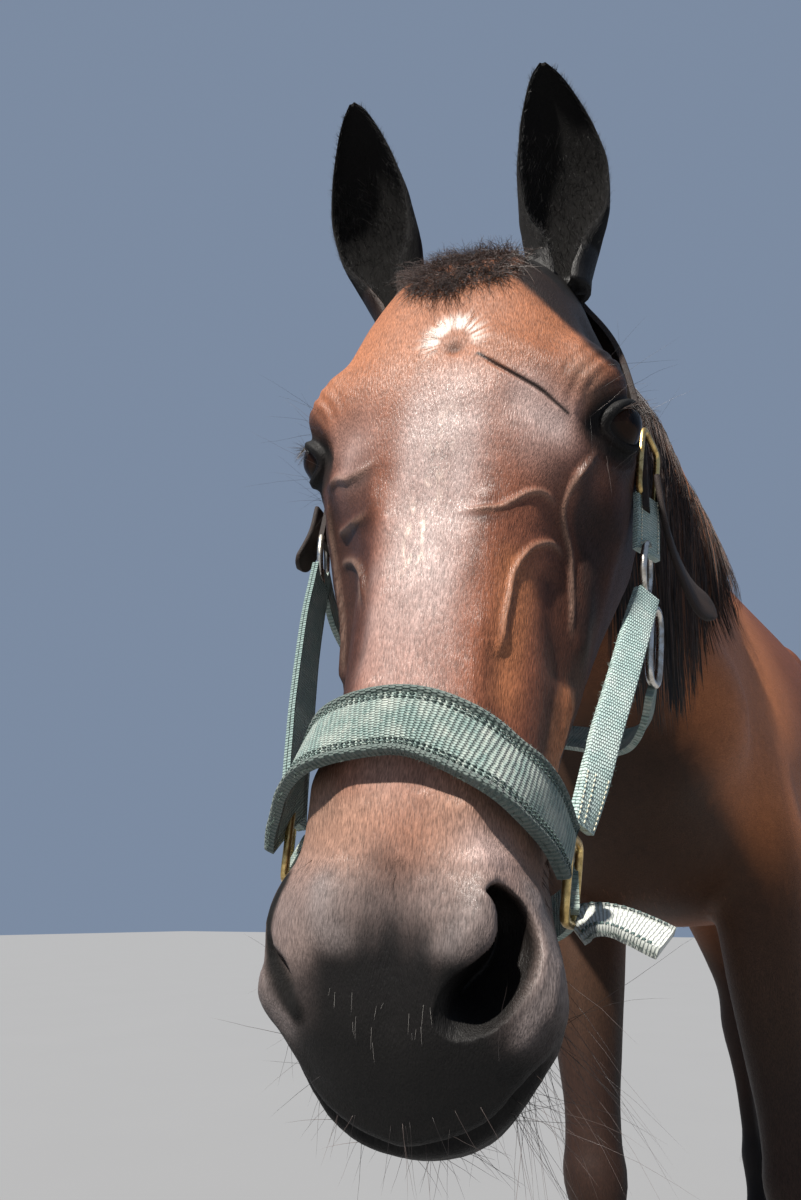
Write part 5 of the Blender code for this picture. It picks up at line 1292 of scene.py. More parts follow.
def onSkin(point):  # nearest place of the skin and its outward direction
    spot, normal, _, _ = skinTree.find_nearest(Vector(point))
    return np.array(spot), np.array(normal)


# Eyes: a dark ball with a clear bulge over a wide pupil that lies level
eyeLook = {"iris": (0.016, 0.007, 0.0038), "pupil": (0.002, 0.002, 0.003),
           "rim": (0.006, 0.005, 0.005), "bulge": 0.0016}


def makeEye(side):
    deselectAll()
    bpy.ops.mesh.primitive_uv_sphere_add(segments=64, ring_count=40, radius=eyeSpec["radius"])
    ball = bpy.context.object
    ball.name = "eyeball_left" if side > 0 else "eyeball_right"
    out, along, across = eyeAxes(side)
    turn = np.stack([along, across, out], 0)
    local = places(ball) @ turn
    a, b, c = local @ along, local @ across, local @ out
    flat = np.sqrt((a / 0.015) ** 2 + (b / 0.0125) ** 2)
    bulge = eyeLook["bulge"] * bell(flat, 0.75, 4) * (c > 0)
    local = local + local / eyeSpec["radius"] * bulge[:, None]
    setPlaces(ball, fromHead(local + eyeCentres[side]))
    pupil = np.sqrt((a / 0.0085) ** 2 + (b / 0.0048) ** 2)
    iris = ease(1.16, 0.98, flat)
    colour = np.array(eyeLook["rim"]) * (1 - iris[:, None]) + np.array(eyeLook["iris"]) * iris[:, None]
    inside = ease(1.1, 0.9, pupil)[:, None]
    colour = colour * (1 - inside) + np.array(eyeLook["pupil"]) * inside
    writeCoat(ball.data, colour)
    smoothed(outward(ball))
    look = Shader(ball.name + "Glass")
    fibre = look.grain(900.0, 3.0, 0.7)
    tone = look.evenly(fibre, 0.7, 1.35)
    look.colour(look.scaled("coat", tone))
    glass = look.set(Roughness=0.18, Specular_IOR_Level=0.06, Coat_Weight=0.1, Coat_Roughness=0.03)
    return placed(wear(ball, glass), "eye_dark", "eye_left" if side > 0 else "eye_right")


for side in (1, -1):
    makeEye(side)
print("horse: eyes")

# Long hair: count, radius, colours
hairLook = {"maneTop": 4200, "maneUnder": 3000, "tail": 3600, "forelock": 3400, "radius": 0.00042,
            "dark": (0.0115, 0.0085, 0.008), "brown": (0.06, 0.033, 0.023),
            "greyBrown": (0.085, 0.064, 0.058),
            "white": (0.72, 0.68, 0.63), "bay": (0.19, 0.075, 0.036), "black": (0.006, 0.005, 0.005)}


def draws(seed):
    random = np.random.default_rng(seed)
    return random, random.uniform, random.normal


def tinted(random, count, *parts):  # a colour for each hair, from shares of a few
    colour = np.zeros((count, 3))
    lot = random.random(count)
    low = 0.0
    for share, name in parts:
        chosen = (lot >= low) & (lot < low + share)
        colour[chosen] = hairLook[name]
        low += share
    return colour * random.uniform(0.65, 1.45, (count, 1))


def crestPlace(forward):  # the top of the neck's crest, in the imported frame
    height = float(curve(column(neckRows, 1), forward))
    return np.array([neckBend(forward), -forward, height]) + origin


maneLengths = [(0.05, 0.18), (0.15, 0.27), (0.3, 0.36), (0.45, 0.43), (0.65, 0.48), (0.9, 0.44)]


def makeMane():
    random, pick, stray = draws(4)
    guides, spots = 76, shares(9)
    forwards = np.linspace(0.06, 0.88, guides)
    lines = np.zeros((guides, len(spots), 3))
    facing = np.zeros((guides, len(spots), 3))
    for i, forward in enumerate(forwards):
        root = crestPlace(forward)
        length = float(curve(maneLengths, forward))
        lines[i, 0], facing[i, 0] = onSkin((root[0] + 0.006, root[1], root[2] + 0.02))
        for k, spot in enumerate(spots[1:], 1):
            place = Vector((1.0, root[1] + 0.06 * length * spot, root[2] - 0.002 - spot * length))
            hit, normal, _, _ = skinTree.ray_cast(place, Vector((-1, 0, 0)))
            before = lines[i, k - 1, 0]
            # hangs free below the neck's swell
            if hit is None or hit.x > root[0] + 0.17 or hit.x < before - 0.012:
                lines[i, k] = (before - (0.004 if spot > 0.3 else 0.0), place.y, place.z)
                facing[i, k] = facing[i, k - 1]
            else:
                lines[i, k], facing[i, k] = np.array(hit), np.array(normal)
    for _ in range(4):
        facing[:, 1:-1] = (facing[:, :-2] + facing[:, 1:-1] + facing[:, 2:]) / 3
        lines[1:-1, 1:] = (lines[:-2, 1:] + 2 * lines[1:-1, 1:] + lines[2:, 1:]) / 4
    steps = len(spots)

    def strands(count, clumps, spreadWide, bulk, thick, name, tints):
        place = pick(0, guides - 1, clumps)
        drift, reachOut, layer = stray(0, 0.018, clumps), pick(0.52, 1.08, clumps), pick(0, 1, clumps)
        own = random.integers(0, clumps, count)
        spread = stray(0, spreadWide, count)
        at = np.clip(place[own] + spread, 0, guides - 1.001)
        low = at.astype(int)
        part = (at - low)[:, None, None]
        path = lines[low] * (1 - part) + lines[low + 1] * part
        out = facing[low] * (1 - part) + facing[low + 1] * part
        share = shares(steps)[None, :]
        reach = (reachOut[own] * pick(0.78, 1.06, count))[:, None] * share
        index = np.clip(reach * (steps - 1), 0, steps - 1.001)
        j = index.astype(int)
        f = (index - j)[:, :, None]
        rows = np.arange(count)[:, None]
        path = path[rows, j] * (1 - f) + path[rows, j + 1] * f
        out = out[rows, j]
        out /= np.linalg.norm(out, axis=2)[:, :, None]
        path[:, :, 1] += (spread * -0.0085)[:, None] * share ** 1.2 + drift[own][:, None] * share ** 2
        near = ease(0.98, 0.55, at / guides)[:, None] * 0.8 + 0.2  # flatter close behind the ears
        lift = (0.003 + bulk * layer[own][:, None]) * near * np.clip(share * 4.0, 0, 1) ** 0.8
        lift = 0.0015 + lift * (1 - 0.25 * share)
        lift = lift + pick(0, 0.004, count)[:, None] * share
        path += out * lift[:, :, None]
        path[:, 0] += np.stack([stray(0.002, 0.006, count), stray(0, 0.002, count), np.zeros(count)], 1)
        path[:, 0] -= out[:, 0] * 0.004
        wave = np.sin(share * pick(3, 8, (count, 1)) + pick(0, 6.3, (count, 1))) * 0.0022 * share
        path[:, :, 1] += wave
        path[:, :, 0] += np.roll(wave, 1, 0) * 0.7
        radius = thick * pick(0.75, 1.3, count)
        return placed(hairMesh(name, path, radius, tinted(random, count, *tints)), "hair_black")

    strands(hairLook["maneUnder"], 170, 1.8, 0.026, 0.0014, "mane_under", ((0.85, "black"), (0.15, "dark")))
    strands(hairLook["maneTop"], 230, 1.1, 0.044, hairLook["radius"], "mane_hair",
            ((0.4, "dark"), (0.3, "brown"), (0.22, "greyBrown"), (0.08, "bay")))


tailLine = [(0.0, 1.235, 1.47), (0.0, 1.3, 1.462), (0.0, 1.345, 1.4), (0.0, 1.365, 1.3), (0.0, 1.37, 1.1),
            (0.0, 1.365, 0.85), (0.0, 1.355, 0.6), (0.0, 1.345, 0.4)]
tailRadius = [(0, 0.028), (0.1, 0.034), (0.25, 0.04), (0.5, 0.056), (0.75, 0.05), (0.92, 0.03), (1, 0.012)]


def makeTail():
    random, pick, stray = draws(11)
    line = smoothPath(tailLine, 60) + origin
    span = shares(60)
    core = []
    for point, s in zip(line[:34], span[:34]):
        r = float(curve(tailRadius, s)) * (0.8 - 0.45 * s)
        t = circle(20)
        core.append(point + np.stack([r * 0.85 * np.sin(t), r * np.cos(t), 0 * t], 1))
    dock = loft("tail_dock", np.array(core))
    smoothed(dock)
    writeCoat(dock.data, np.tile(hairLook["dark"], (len(dock.data.vertices), 1)))
    placed(wear(dock, hairMaterial), "hair_black")
    count, steps = hairLook["tail"], 8
    clumps = 170
    own = random.integers(0, clumps, count)
    clumpTurn = pick(0, 2 * pi, clumps)
    clumpEnd = pick(0.72, 1.0, clumps)
    clumpOut = pick(0.45, 1.0, clumps)
    start = pick(0.02, 0.46, count) ** 1.2
    end = np.clip(clumpEnd[own] * pick(0.93, 1.02, count), 0, 1)
    share = shares(steps)[None]
    spot = start[:, None] + (end - start)[:, None] * share
    middle = np.stack([np.interp(spot, span, line[:, k]) for k in range(3)], -1)
    turn = clumpTurn[own][:, None] + stray(0, 0.34, count)[:, None] * (1 - 0.75 * share)
    turn = turn + 0.25 * np.sin(share * 5 + clumpTurn[own][:, None] * 3)
    r = curve(tailRadius, spot.reshape(-1)).reshape(spot.shape)
    inner = np.where(share < 0.12, 0.75, 1.0)
    r = r * inner * (0.3 + 0.72 * clumpOut[own][:, None] + stray(0, 0.05, count)[:, None])
    path = middle + np.stack([0.85 * r * np.sin(turn), r * np.cos(turn), np.zeros_like(r)], -1)
    radius = hairLook["radius"] * 1.15 * pick(0.75, 1.3, count)
    colour = tinted(random, count, (0.72, "dark"), (0.2, "brown"), (0.08, "greyBrown"))
    return placed(hairMesh("tail_hair", path, radius, colour), "hair_black", "tail")


def faceHit(w, u):  # the face's surface straight behind a place of its plan, and its outward direction
    start = fromHead([(w, u, -0.2)])[0]
    hit, normal, _, _ = skinTree.ray_cast(Vector(start), Vector(headArray[:3, 2]), 0.42)
    return (None, None) if hit is None else (np.array(hit), np.array(normal))


# hairs from given roots
def freeHairs(roots, normals, ways, lengths, steps, lift, random, curl=0.06, sag=0.0):
    along = ways - normals * (ways * normals).sum(1)[:, None]
    along /= np.maximum(lengthOf(along), 1e-9)[:, None]
    heading = along + normals * np.asarray(lift)[:, None]
    heading /= lengthOf(heading)[:, None]
    point = roots - normals * 0.0006
    paths = np.zeros((len(roots), steps, 3))
    for step in range(steps):
        paths[:, step] = point
        point = point + heading * (np.asarray(lengths) / (steps - 1))[:, None]
        heading = heading + np.array([0, 0, -1.0]) * sag + random.normal(0, curl, heading.shape)
        heading /= lengthOf(heading)[:, None]
    return paths


def columns(rows):
    return [np.array(values) for values in zip(*rows)]


def grow(name, paths, radius, colour):
    placed(hairMesh(name, paths, radius, colour), "hair_black")


def nearEar(local, reach):  # places that belong to an ear
    found = np.zeros(len(local), bool)
    for side in (1, -1):
        base, way, *_ = earFrame(side)
        gap = local - base
        share = np.clip(gap @ way / (way @ way), 0.0, 1)
        found |= lengthOf(gap - share[:, None] * way) < reach
    return found


def makeForelock():
    random, pick, stray = draws(7)
    clumps = 150
    centreW, centreU = pick(-0.04, 0.04, clumps), pick(0.034, 0.124, clumps)
    turnOf = stray(0, 0.65, clumps) + centreW * 7
    rows = []
    for i in random.integers(0, clumps, hairLook["forelock"]):
        w, u = centreW[i] + stray(0, 0.004), centreU[i] + stray(0, 0.0055)
        hit, normal = faceHit(w, u)
        if hit is None or abs(w) > 0.046 or u > 0.128 - 20.0 * w ** 2:
            continue
        turn = turnOf[i] + stray(0, 0.3)
        rows.append((hit, normal, headTurn @ [sin(turn), cos(turn), 0.0]))
    roots, normals, ways = columns(rows)
    keep = ~nearEar(toHead(roots), 0.031)
    roots, normals, ways = roots[keep], normals[keep], ways[keep]
    count = len(roots)
    length = pick(0.01, 0.03, count)
    lift = pick(0.3, 1.5, count) ** 1.3
    paths = freeHairs(roots, normals, ways, length, 6, lift, random, 0.2)
    share = shares(6)[None, :, None]
    paths += (headTurn @ [0.0, 0.85, 0.45]) * share ** 2 * length[:, None, None] * 0.4
    colour = tinted(random, count, (0.34, "dark"), (0.46, "greyBrown"), (0.2, "brown"))
    grow("forelock_hair", paths, hairLook["radius"] * 0.52 * pick(0.7, 1.25, count), colour) 

def makeStar():  # white hairs round the whorl, and short ones on the nose
    random, pick, stray = draws(15)
    rows = []
    for _ in range(380):
        turn = stray(pi * 0.66, 0.66)
        ring = pick(0.7, 1.35)
        away = np.array([cos(turn), -sin(turn), 0.0])
        hit, normal = faceHit(0.0062 + away[0] * 0.0135 * ring, 0.1755 + away[1] * 0.0165 * ring)
        rows.append((hit, normal, headTurn @ (away + stray(0, 0.22, 3)), pick(0.0035, 0.0075)))
    for _ in range(420):
        u = random.choice((pick(0.232, 0.272), pick(0.288, 0.338)))
        w = -0.004 + 0.16 * (0.285 - u) + stray(0, 0.0048)
        hit, normal = faceHit(w, u)
        way = headTurn @ [stray(0, 0.16), 1.0, 0.0]
        rows.append((hit, normal, way, pick(0.003, 0.006)))
    count = len(rows)
    lift = pick(0.1, 0.3, count)
    paths = freeHairs(*columns(rows), 4, lift, random, 0.05)
    grow("star_hair", paths, 0.0002, tinted(random, count, (1.0, "white"))) 

def makeEarHair():  # short hair along the edges of the ears, longer at their roots
    random, pick, stray = draws(19)
    rows = []
    for side in (1, -1):
        _, reach, front, across = earFrame(side)
        for _ in range(1500):
            s = pick(0.04, 0.97)
            edge = random.choice((-1.0, 1.0))
            turn = edge * pick(0.9, 1.0)
            inside = -edge * across * pick(0.0, 0.7)
            way = unit(reach) * pick(0.5, 1.0) + front * pick(0.0, 0.8) + inside + across * edge * 0.25
            length = pick(0.0035, 0.0075) + 0.01 * max(0.0, 0.35 - s) * pick(0.3, 1.6)
            rows.append((earPoint(side, s, turn, 0.002), way, length))
        for _ in range(700):  # inside the shell
            s = pick(0.06, 0.7)
            turn = pick(-0.9, 0.9)
            way = unit(reach) * pick(0.4, 1.0) + front * pick(0.2, 0.9)
            rows.append((earPoint(side, s, turn, 0.004, 0.97), way, pick(0.006, 0.014)))
    roots, ways, lengths = columns(rows)
    roots, ways = fromHead(roots), ways @ headTurn.T
    count = len(roots)
    normals = ways / lengthOf(ways)[:, None]
    ways = ways + stray(0, 0.2, ways.shape)
    paths = freeHairs(roots, normals, ways, lengths, 4, np.full(count, 1.6), random, 0.12)
    grow("ear_hair", paths, 0.00016, tinted(random, count, (0.9, "black"), (0.1, "dark")))


def makeWhiskers():  # long stiff hairs of the lips, chin, nostrils and round the eyes, and the lashes
    random, pick, stray = draws(23)
    rows = []

    def add(point, way, length, radius, wild=0.25):
        way = headTurn @ (np.array(way) + stray(0, wild, 3))
        rows.append((*onSkin(fromHead([point])[0]), way, length, radius))

    for _ in range(70):  # lips and chin
        w = pick(-0.05, 0.056)
        u = 0.6 - abs(w) * 0.3 + stray(0, 0.014)
        v = pick(0.03, 0.115)
        add((w, u, v), (w * 22, 1.0, pick(-0.5, 0.9)), pick(0.012, 0.038), 0.00012)
    for _ in range(60):  # the left corner of the mouth has the longest
        add((pick(0.045, 0.066), pick(0.535, 0.598), pick(0.045, 0.105)),
            (0.9, 0.75, pick(-0.7, 0.5)), pick(0.04, 0.095), 0.00012, 0.3)
    for _ in range(16):
        add((pick(-0.068, -0.05), pick(0.53, 0.59), pick(0.04, 0.1)),
            (-0.9, 0.45, pick(-0.5, 0.5)), pick(0.02, 0.05), 0.00011, 0.35)
    for side in (1, -1):
        out, along, up = eyeAxes(side)
        centre = eyeCentres[side]
        for _ in range(26):
            t = pick(0, 2 * pi)
            where = centre + (along * cos(t) + up * sin(t)) * pick(0.026, 0.04) + out * 0.012
            add(where, (side * 0.9, pick(-0.4, 0.7), -0.5), pick(0.02, 0.065), 0.00011, 0.3)
        for _ in range(90):  # lashes hang outwards and down over the eye
            a = pick(-0.85, 0.95)
            rise = (eyeSpec["opening"][1] * (1 - abs(a) ** 2) ** 0.6 * 1.18 - eyeSpec["drop"]) * side
            where = centre + along * a * eyeSpec["opening"][0] + up * rise + out * (eyeSpec["radius"] + 0.004)
            way = out + along * a * 0.35 - up * side * pick(-0.1, 0.7)
            add(where, way, pick(0.008, 0.015), 0.00011, 0.1)
    dark = len(rows)
    for _ in range(16):  # pale hairs between the nostrils
        add((pick(-0.04, 0.02), pick(0.545, 0.572), 0.01),
            (0.05, 1.0, -0.3), pick(0.004, 0.014), 0.00007, 0.12)
    count = len(rows)
    *hairs, thick = columns(rows)
    paths = freeHairs(*hairs, 7, np.full(count, 0.6), random, 0.05, 0.03)
    tints = tinted(random, count, (0.62, "dark"), (0.38, "greyBrown"))
    tints[dark:] = np.array(hairLook["white"]) * 0.35
    grow("whiskers", paths, thick, tints)


def legMiddle(name, height):  # middle of a leg's section
    table, side, out, lean = legs[name]
    forward, offset = (float(curve(column(table, i), height)) for i in (1, 4))
    return side * (out + offset), -(forward + float(legLean(height, lean)))


def makeTufts():  # fetlocks, the upper edges of the hooves, belly line and breast, and the jaw
    random, pick, stray = draws(29)
    rows = []

    def add(place, way, length, lift, name, reach=0.05):
        spot, normal = onSkin(np.array(place) + origin)
        if np.linalg.norm(spot - np.array(place) - origin) > reach:
            return
        way = np.array(way, float) + stray(0, 0.15, 3)
        rows.append((spot, normal, way, length, lift, np.array(hairLook[name]) * pick(0.7, 1.4)))

    for name in legs:
        middle = legMiddle(name, 0.215)
        for _ in range(420):
            turn = stray(0, 0.75)
            z = pick(0.165, 0.245)
            place = (middle[0] + 0.045 * sin(turn), middle[1] + 0.05 * cos(turn), z)
            add(place, (0, 0.25, -1), pick(0.012, 0.032), pick(0.15, 0.55), "black")
        for _ in range(260):  # over the hoof's upper edge
            turn = pick(0, 2 * pi)
            low = legMiddle(name, 0.075)
            place = (low[0] + 0.06 * sin(turn), low[1] + 0.06 * cos(turn), pick(0.078, 0.092))
            add(place, (0, 0, -1), pick(0.008, 0.014), 0.1, "black")
    for _ in range(900):  # belly line and breast
        y = pick(-0.25, 0.75)
        add((stray(0, 0.05), y, 0.86), (0, 0.9, -0.5), pick(0.008, 0.018), pick(0.1, 0.3), "bay", 0.12)
    for _ in range(700):  # lower edge of the jaw
        u = pick(0.06, 0.5)
        local = np.array([stray(0, 0.035), u, 0.3 - 0.25 * max(0.0, u - 0.16) / 0.34])
        place = fromHead([local])[0] - origin
        add(place, headTurn @ [0, 1.0, 0.3], pick(0.008, 0.02), pick(0.2, 0.6), "brown", 0.08)
    *hairs, lifts, tints = columns(rows)
    paths = freeHairs(*hairs, 4, lifts, random, 0.06)
    grow("body_tufts", paths, 0.00022, tints)


makeMane()
makeTail()
makeForelock()
makeStar()
makeEarHair()
makeWhiskers()
makeTufts()
print("horse: mane, tail and forelock")


# Halter, in the head frame: middle lines of the straps
halter = tenths({
    "noseband": [(700, 4740, 640), (650, 4620, 420), (500, 4500, 120), (260, 4370, 0), (0, 4290, -30),
     (-260, 4300, -10), (-520, 4340, 90), (-740, 4430, 340), (-880, 4560, 600), (-945, 4660, 760)],
    "chin": [(690, 4840, 970), (660, 4890, 1160), (500, 4960, 1400), (130, 5000, 1530),
     (-250, 5000, 1550), (-620, 4950, 1420), (-860, 4840, 1160), (-940, 4720, 950)],
    "tab": [(675, 5045, 1000), (730, 5010, 1005), (800, 4990, 1010), (900, 4995, 1020),
     (1010, 5030, 1020), (1140, 5085, 1010)],
    "cheekLeft": [(735, 4560, 870), (790, 4360, 890), (875, 4000, 930), (965, 3660, 980),
     (1065, 3270, 1030), (1135, 3010, 1070)],
    "cheekRight": [(-955, 4580, 850), (-1010, 4300, 900), (-1090, 3850, 980), (-1190, 3000, 1080),
     (-1205, 2620, 1120)],
    "throat": [(1135, 3500, 1360), (1080, 3620, 1650), (960, 3620, 2050), (600, 3460, 2450),
     (0, 3300, 2620), (-650, 3180, 2450), (-1060, 3040, 2050), (-1220, 2840, 1550), (-1215, 2620, 1200)],
    "crown": [(1160, 2380, 1120), (1155, 1900, 1120), (1100, 1300, 1120), (920, 600, 1120),
     (600, 100, 1100), (0, -200, 1050), (-600, 100, 1100), (-900, 600, 1120), (-1080, 1300, 1120),
     (-1180, 1900, 1120), (-1205, 2400, 1120)],
    "crownEndLeft": [(1245, 2050, 1160), (1270, 2320, 1220), (1320, 2550, 1320), (1420, 2770, 1470),
     (1560, 2900, 1630)],
    "crownEndRight": [(-1290, 2080, 1120), (-1310, 2320, 1120), (-1400, 2580, 1120)],
    "billet": [(1165, 2240, 1090), (1160, 2400, 1085), (1152, 2560, 1080), (1145, 2705, 1080)],
})
# Straps that don't lie on the skin: which way their faces turn, spread evenly along
strapFacing = {
    "tab": [(0.05, -0.86, -0.5), (0.05, -0.86, -0.5)],
    "cheekLeft": [(0.86, 0.05, -0.5), (0.55, 0.0, -0.83), (0.45, 0.0, -0.89), (0.45, 0.0, -0.89),
    (0.75, 0.0, -0.66)],
    "billet": [(0.8, 0.0, -0.6), (0.8, 0.0, -0.6)],
}


def strapLine(name, count, thickness, lift=0.0008):  # middle line and outward direction
    line = fromHead(smoothPath(halter[name], count))
    if name in strapFacing:
        knots = np.array(strapFacing[name]) @ headTurn.T
        spots = shares(len(knots))
        return line, np.stack([np.interp(shares(count), spots, knots[:, k]) for k in range(3)], 1)

    def laid(points):
        raised = []
        for point in points:
            near, normal = onSkin(point)
            height = (point - near) @ normal
            raised.append(near + normal * (thickness / 2 + lift) if height < thickness / 2 + lift else point)
        return np.array(raised)

    for _ in range(3):
        line = laid(line)
        line[1:-1] = line[1:-1] * 0.5 + (line[:-2] + line[2:]) * 0.25
    line = laid(line)
    facing = np.array([onSkin(p)[1] for p in line])
    for _ in range(6):
        facing[1:-1] = (facing[:-2] + facing[1:-1] + facing[2:]) / 3
        facing[0], facing[-1] = facing[1], facing[-2]
    return line, facing


def strapAxes(line, facing):
    tangent = np.gradient(line, axis=0)
    tangent /= lengthOf(tangent)[:, None]
    out = facing - tangent * (facing * tangent).sum(1)[:, None]
    out /= lengthOf(out)[:, None]
    return tangent, out, np.cross(tangent, out)


# a strap of a given section, with its own map
def makeBand(name, line, facing, width, thickness, profile, offset=0.0, crown=0.0):
    _, out, across = strapAxes(line, facing)
    along = runOf(line)
    wide = np.broadcast_to(np.asarray(width, float), len(line))
    rings = []
    for x, y in profile:
        rise = y * thickness + offset + crown * (1 - (2 * x) ** 2)
        rings.append(line + across * (x * wide)[:, None] + out * rise)
    rings = np.stack(rings, 1)
    obj = loft(name, rings)
    u = (wide[:, None] * np.array([p[0] for p in profile])).reshape(-1)
    v = np.repeat(along, len(profile))
    uv = np.stack([np.concatenate([u, [0, 0]]), np.concatenate([v, [0, along[-1]]])], 1)
    writeMap(obj.data, "strap", uv)
    return smoothed(obj, 50)


flatUnder = (0.25, -0.5), (0.0, -0.5), (-0.25, -0.5)


def mirroredProfile(*half, under=flatUnder):  # a strap's section from its left edge to the middle of the top
    return [*half, *[(-x, y) for x, y in half[-2::-1]], *under]


flatProfile = mirroredProfile((-0.5, -0.5), (-0.5, 0.25), (-0.485, 0.42), (-0.46, 0.5), (-0.25, 0.5),
                              (0.0, 0.5))
softProfile = mirroredProfile((-0.5, -0.15), (-0.497, 0.1), (-0.47, 0.32), (-0.42, 0.44), (-0.25, 0.5),
                              (0.0, 0.5), under=((0.46, -0.42), *flatUnder, (-0.46, -0.42)))
rolledProfile = mirroredProfile((-0.5, -0.5), (-0.5, 0.1), (-0.49, 0.42), (-0.465, 0.55), (-0.435, 0.55),
                                (-0.405, 0.42), (-0.385, 0.3), (-0.22, 0.36), (0.0, 0.38))


def makeWebbing(name, warm, dark, dust, pitch, width, edge, mesh=0.72):  # ribbed webbing and the dust on it
    look = Shader(name)
    uv = look.add("UVMap", uv_map="strap").outputs["UV"]
    split = look.add("SeparateXYZ", {0: uv})
    across, along = split.outputs[0], split.outputs[1]
    jitter = look.noise(uv, 260.0, 3.0)
    bent = look.plus(along, look.evenly(jitter, -0.00035, 0.00035))
    rib = look.math("SINE", look.times(bent, 2 * pi / pitch))
    cell = look.math("SINE", look.times(across, 2 * pi / (pitch * mesh)))
    half = look.math("SINE", look.times(bent, pi / pitch))
    weave = look.times(cell, look.math("SIGN", half))
    rise = look.plus(look.times(rib, 0.6), look.times(weave, 0.4))
    fuzz = look.grain(2400.0, 3.0, 0.7)
    worn = look.grain(75.0, 5.0, 0.7)
    speck = look.grain(620.0, 3.0, 0.6)
    tone = look.mix(look.span(rise, -0.8, 0.7), dark, warm)
    tone = look.mix(look.span(worn, 0.42, 0.68, 0.0, 0.55), tone, dust)
    tone = look.mix(look.span(speck, 0.6, 0.72, 0.0, 0.65), tone, dust)
    side = look.span(look.math("ABSOLUTE", across), width / 2 - edge, width / 2 - edge * 0.75)
    tone = look.mix(look.times(side, 0.85), tone, tuple(0.55 * c for c in dark))
    tone = look.mix(look.span(fuzz, 0.35, 0.65, 0.0, 0.16), tone, tuple(min(1.0, 1.5 * c) for c in dust))
    look.colour(tone)
    look.rough(look.evenly(worn, 0.78, 0.95))
    under = look.bump(fuzz, 0.0004, 0.6)
    look.normal(look.bump(rise, 0.0007, 1.0, under))
    return look.set(Specular_IOR_Level=0.2, Sheen_Weight=0.15, Sheen_Roughness=0.5)


def makeLeather():
    look = Shader("crownLeather")
    grain = look.cells(look.place(), 1500.0)
    worn = look.grain(90.0, 5.0, 0.6)
    tone = look.mix(look.span(worn, 0.35, 0.7), (0.01, 0.0065, 0.0055), (0.03, 0.0165, 0.0125))
    look.colour(look.mix(look.span(grain, 0.0, 0.6, 0.35, 0.0), tone, (0.012, 0.007, 0.006)))
    look.rough(look.evenly(worn, 0.62, 0.85))
    look.normal(look.bump(grain, 0.0005, 0.7))
    return look.set(Specular_IOR_Level=0.4)


def makeMetal(name, clean, tarnish, shine):
    look = Shader(name)
    worn = look.grain(130.0, 6.0, 0.65)
    scratch = look.noise(look.stretched(look.place(), (300.0, 2600.0, 900.0)), 1.0, 2.0)
    look.colour(look.mix(look.span(worn, 0.42, 0.62), clean, tarnish))
    look.rough(look.plus(look.span(worn, 0.35, 0.65, shine, shine + 0.28),
            look.evenly(scratch, -0.05, 0.05)))
    look.normal(look.bump(look.plus(worn, scratch), 0.00012, 0.4))
    return look.set(Metallic=1.0)


greenWebbing = makeWebbing("noseWebbing", (0.2, 0.3, 0.275), (0.04, 0.088, 0.083), (0.5, 0.51, 0.45), 0.003,
                           0.0345, 0.0042, 0.45)
paleWebbing = makeWebbing("cheekWebbing", (0.38, 0.52, 0.5), (0.16, 0.27, 0.255), (0.55, 0.6, 0.56), 0.002,
                          0.0245, 0.001)
tabWebbing = makeWebbing("tabWebbing", (0.56, 0.58, 0.54), (0.39, 0.43, 0.4), (0.66, 0.66, 0.61), 0.0019,
                         0.0325, 0.004, 2.6)
crownLeather = makeLeather()
brass = makeMetal("wornBrass", (0.78, 0.57, 0.24), (0.38, 0.26, 0.1), 0.22)
nickel = makeMetal("wornNickel", (0.74, 0.71, 0.66), (0.4, 0.36, 0.3), 0.16)


# thread stitches along rows across the strap
def makeStitches(name, line, facing, width, rows, pitch, rise, colour):
    _, out, across = strapAxes(line, facing)
    along = runOf(line)
    paths = []
    for row in rows:
        for start in np.arange(pitch, along[-1] - pitch, pitch):
            points = []
            for k, lift in zip(np.linspace(-0.36, 0.36, 5), (-0.0004, 0.0003, 0.0005, 0.0003, -0.0004)):
                at = start + k * pitch
                middle, o, a = (
                    np.array([np.interp(at, along, field[:, j]) for j in range(3)])
                    for field in (line, out, across)
                )
                points.append(middle + a * row * width + o * (rise + lift))
            paths.append(points)
    paths = np.array(paths)
    wide = np.full((len(paths), 5), 0.00038)
    obj = hairMesh(name, paths, wide, np.array(colour), 5)
    return placed(obj, "webbing_pale")


def makeFrays(name, line, facing, width, count, length, colour, seed):  # loose threads at the strap's edges
    random, pick, stray = draws(seed)
    tangent, out, across = strapAxes(line, facing)
    paths = np.zeros((count, 4, 3))
    for i in range(count):
        at = pick(0, len(line) - 1)
        low = min(int(at), len(line) - 2)
        f = at - low
        middle, o, a, t = (field[low] * (1 - f) + field[low + 1] * f
                for field in (line, out, across, tangent))
        edge = random.choice((-1, 1))
        point = middle + a * edge * width / 2
        heading = unit(a * edge + o * stray(0.2, 0.4) + t * stray(0, 0.8))
        for k in range(4):
            paths[i, k] = point
            point = point + heading * length * pick(0.6, 1.3) / 3
            heading = unit(heading + stray(0, 0.35, 3))
    shade = np.array(colour) * pick(0.6, 1.5, (count, 1))
    return placed(hairMesh(name, paths, 0.00013, shade), "webbing_pale")


def fitBand(name, laid, width, thickness, profile, finish, slot, *node, offset=0.0, crown=0.0):
    band = makeBand(name, *laid, width, thickness, profile, offset, crown)
    placed(wear(band, finish), slot, *node)


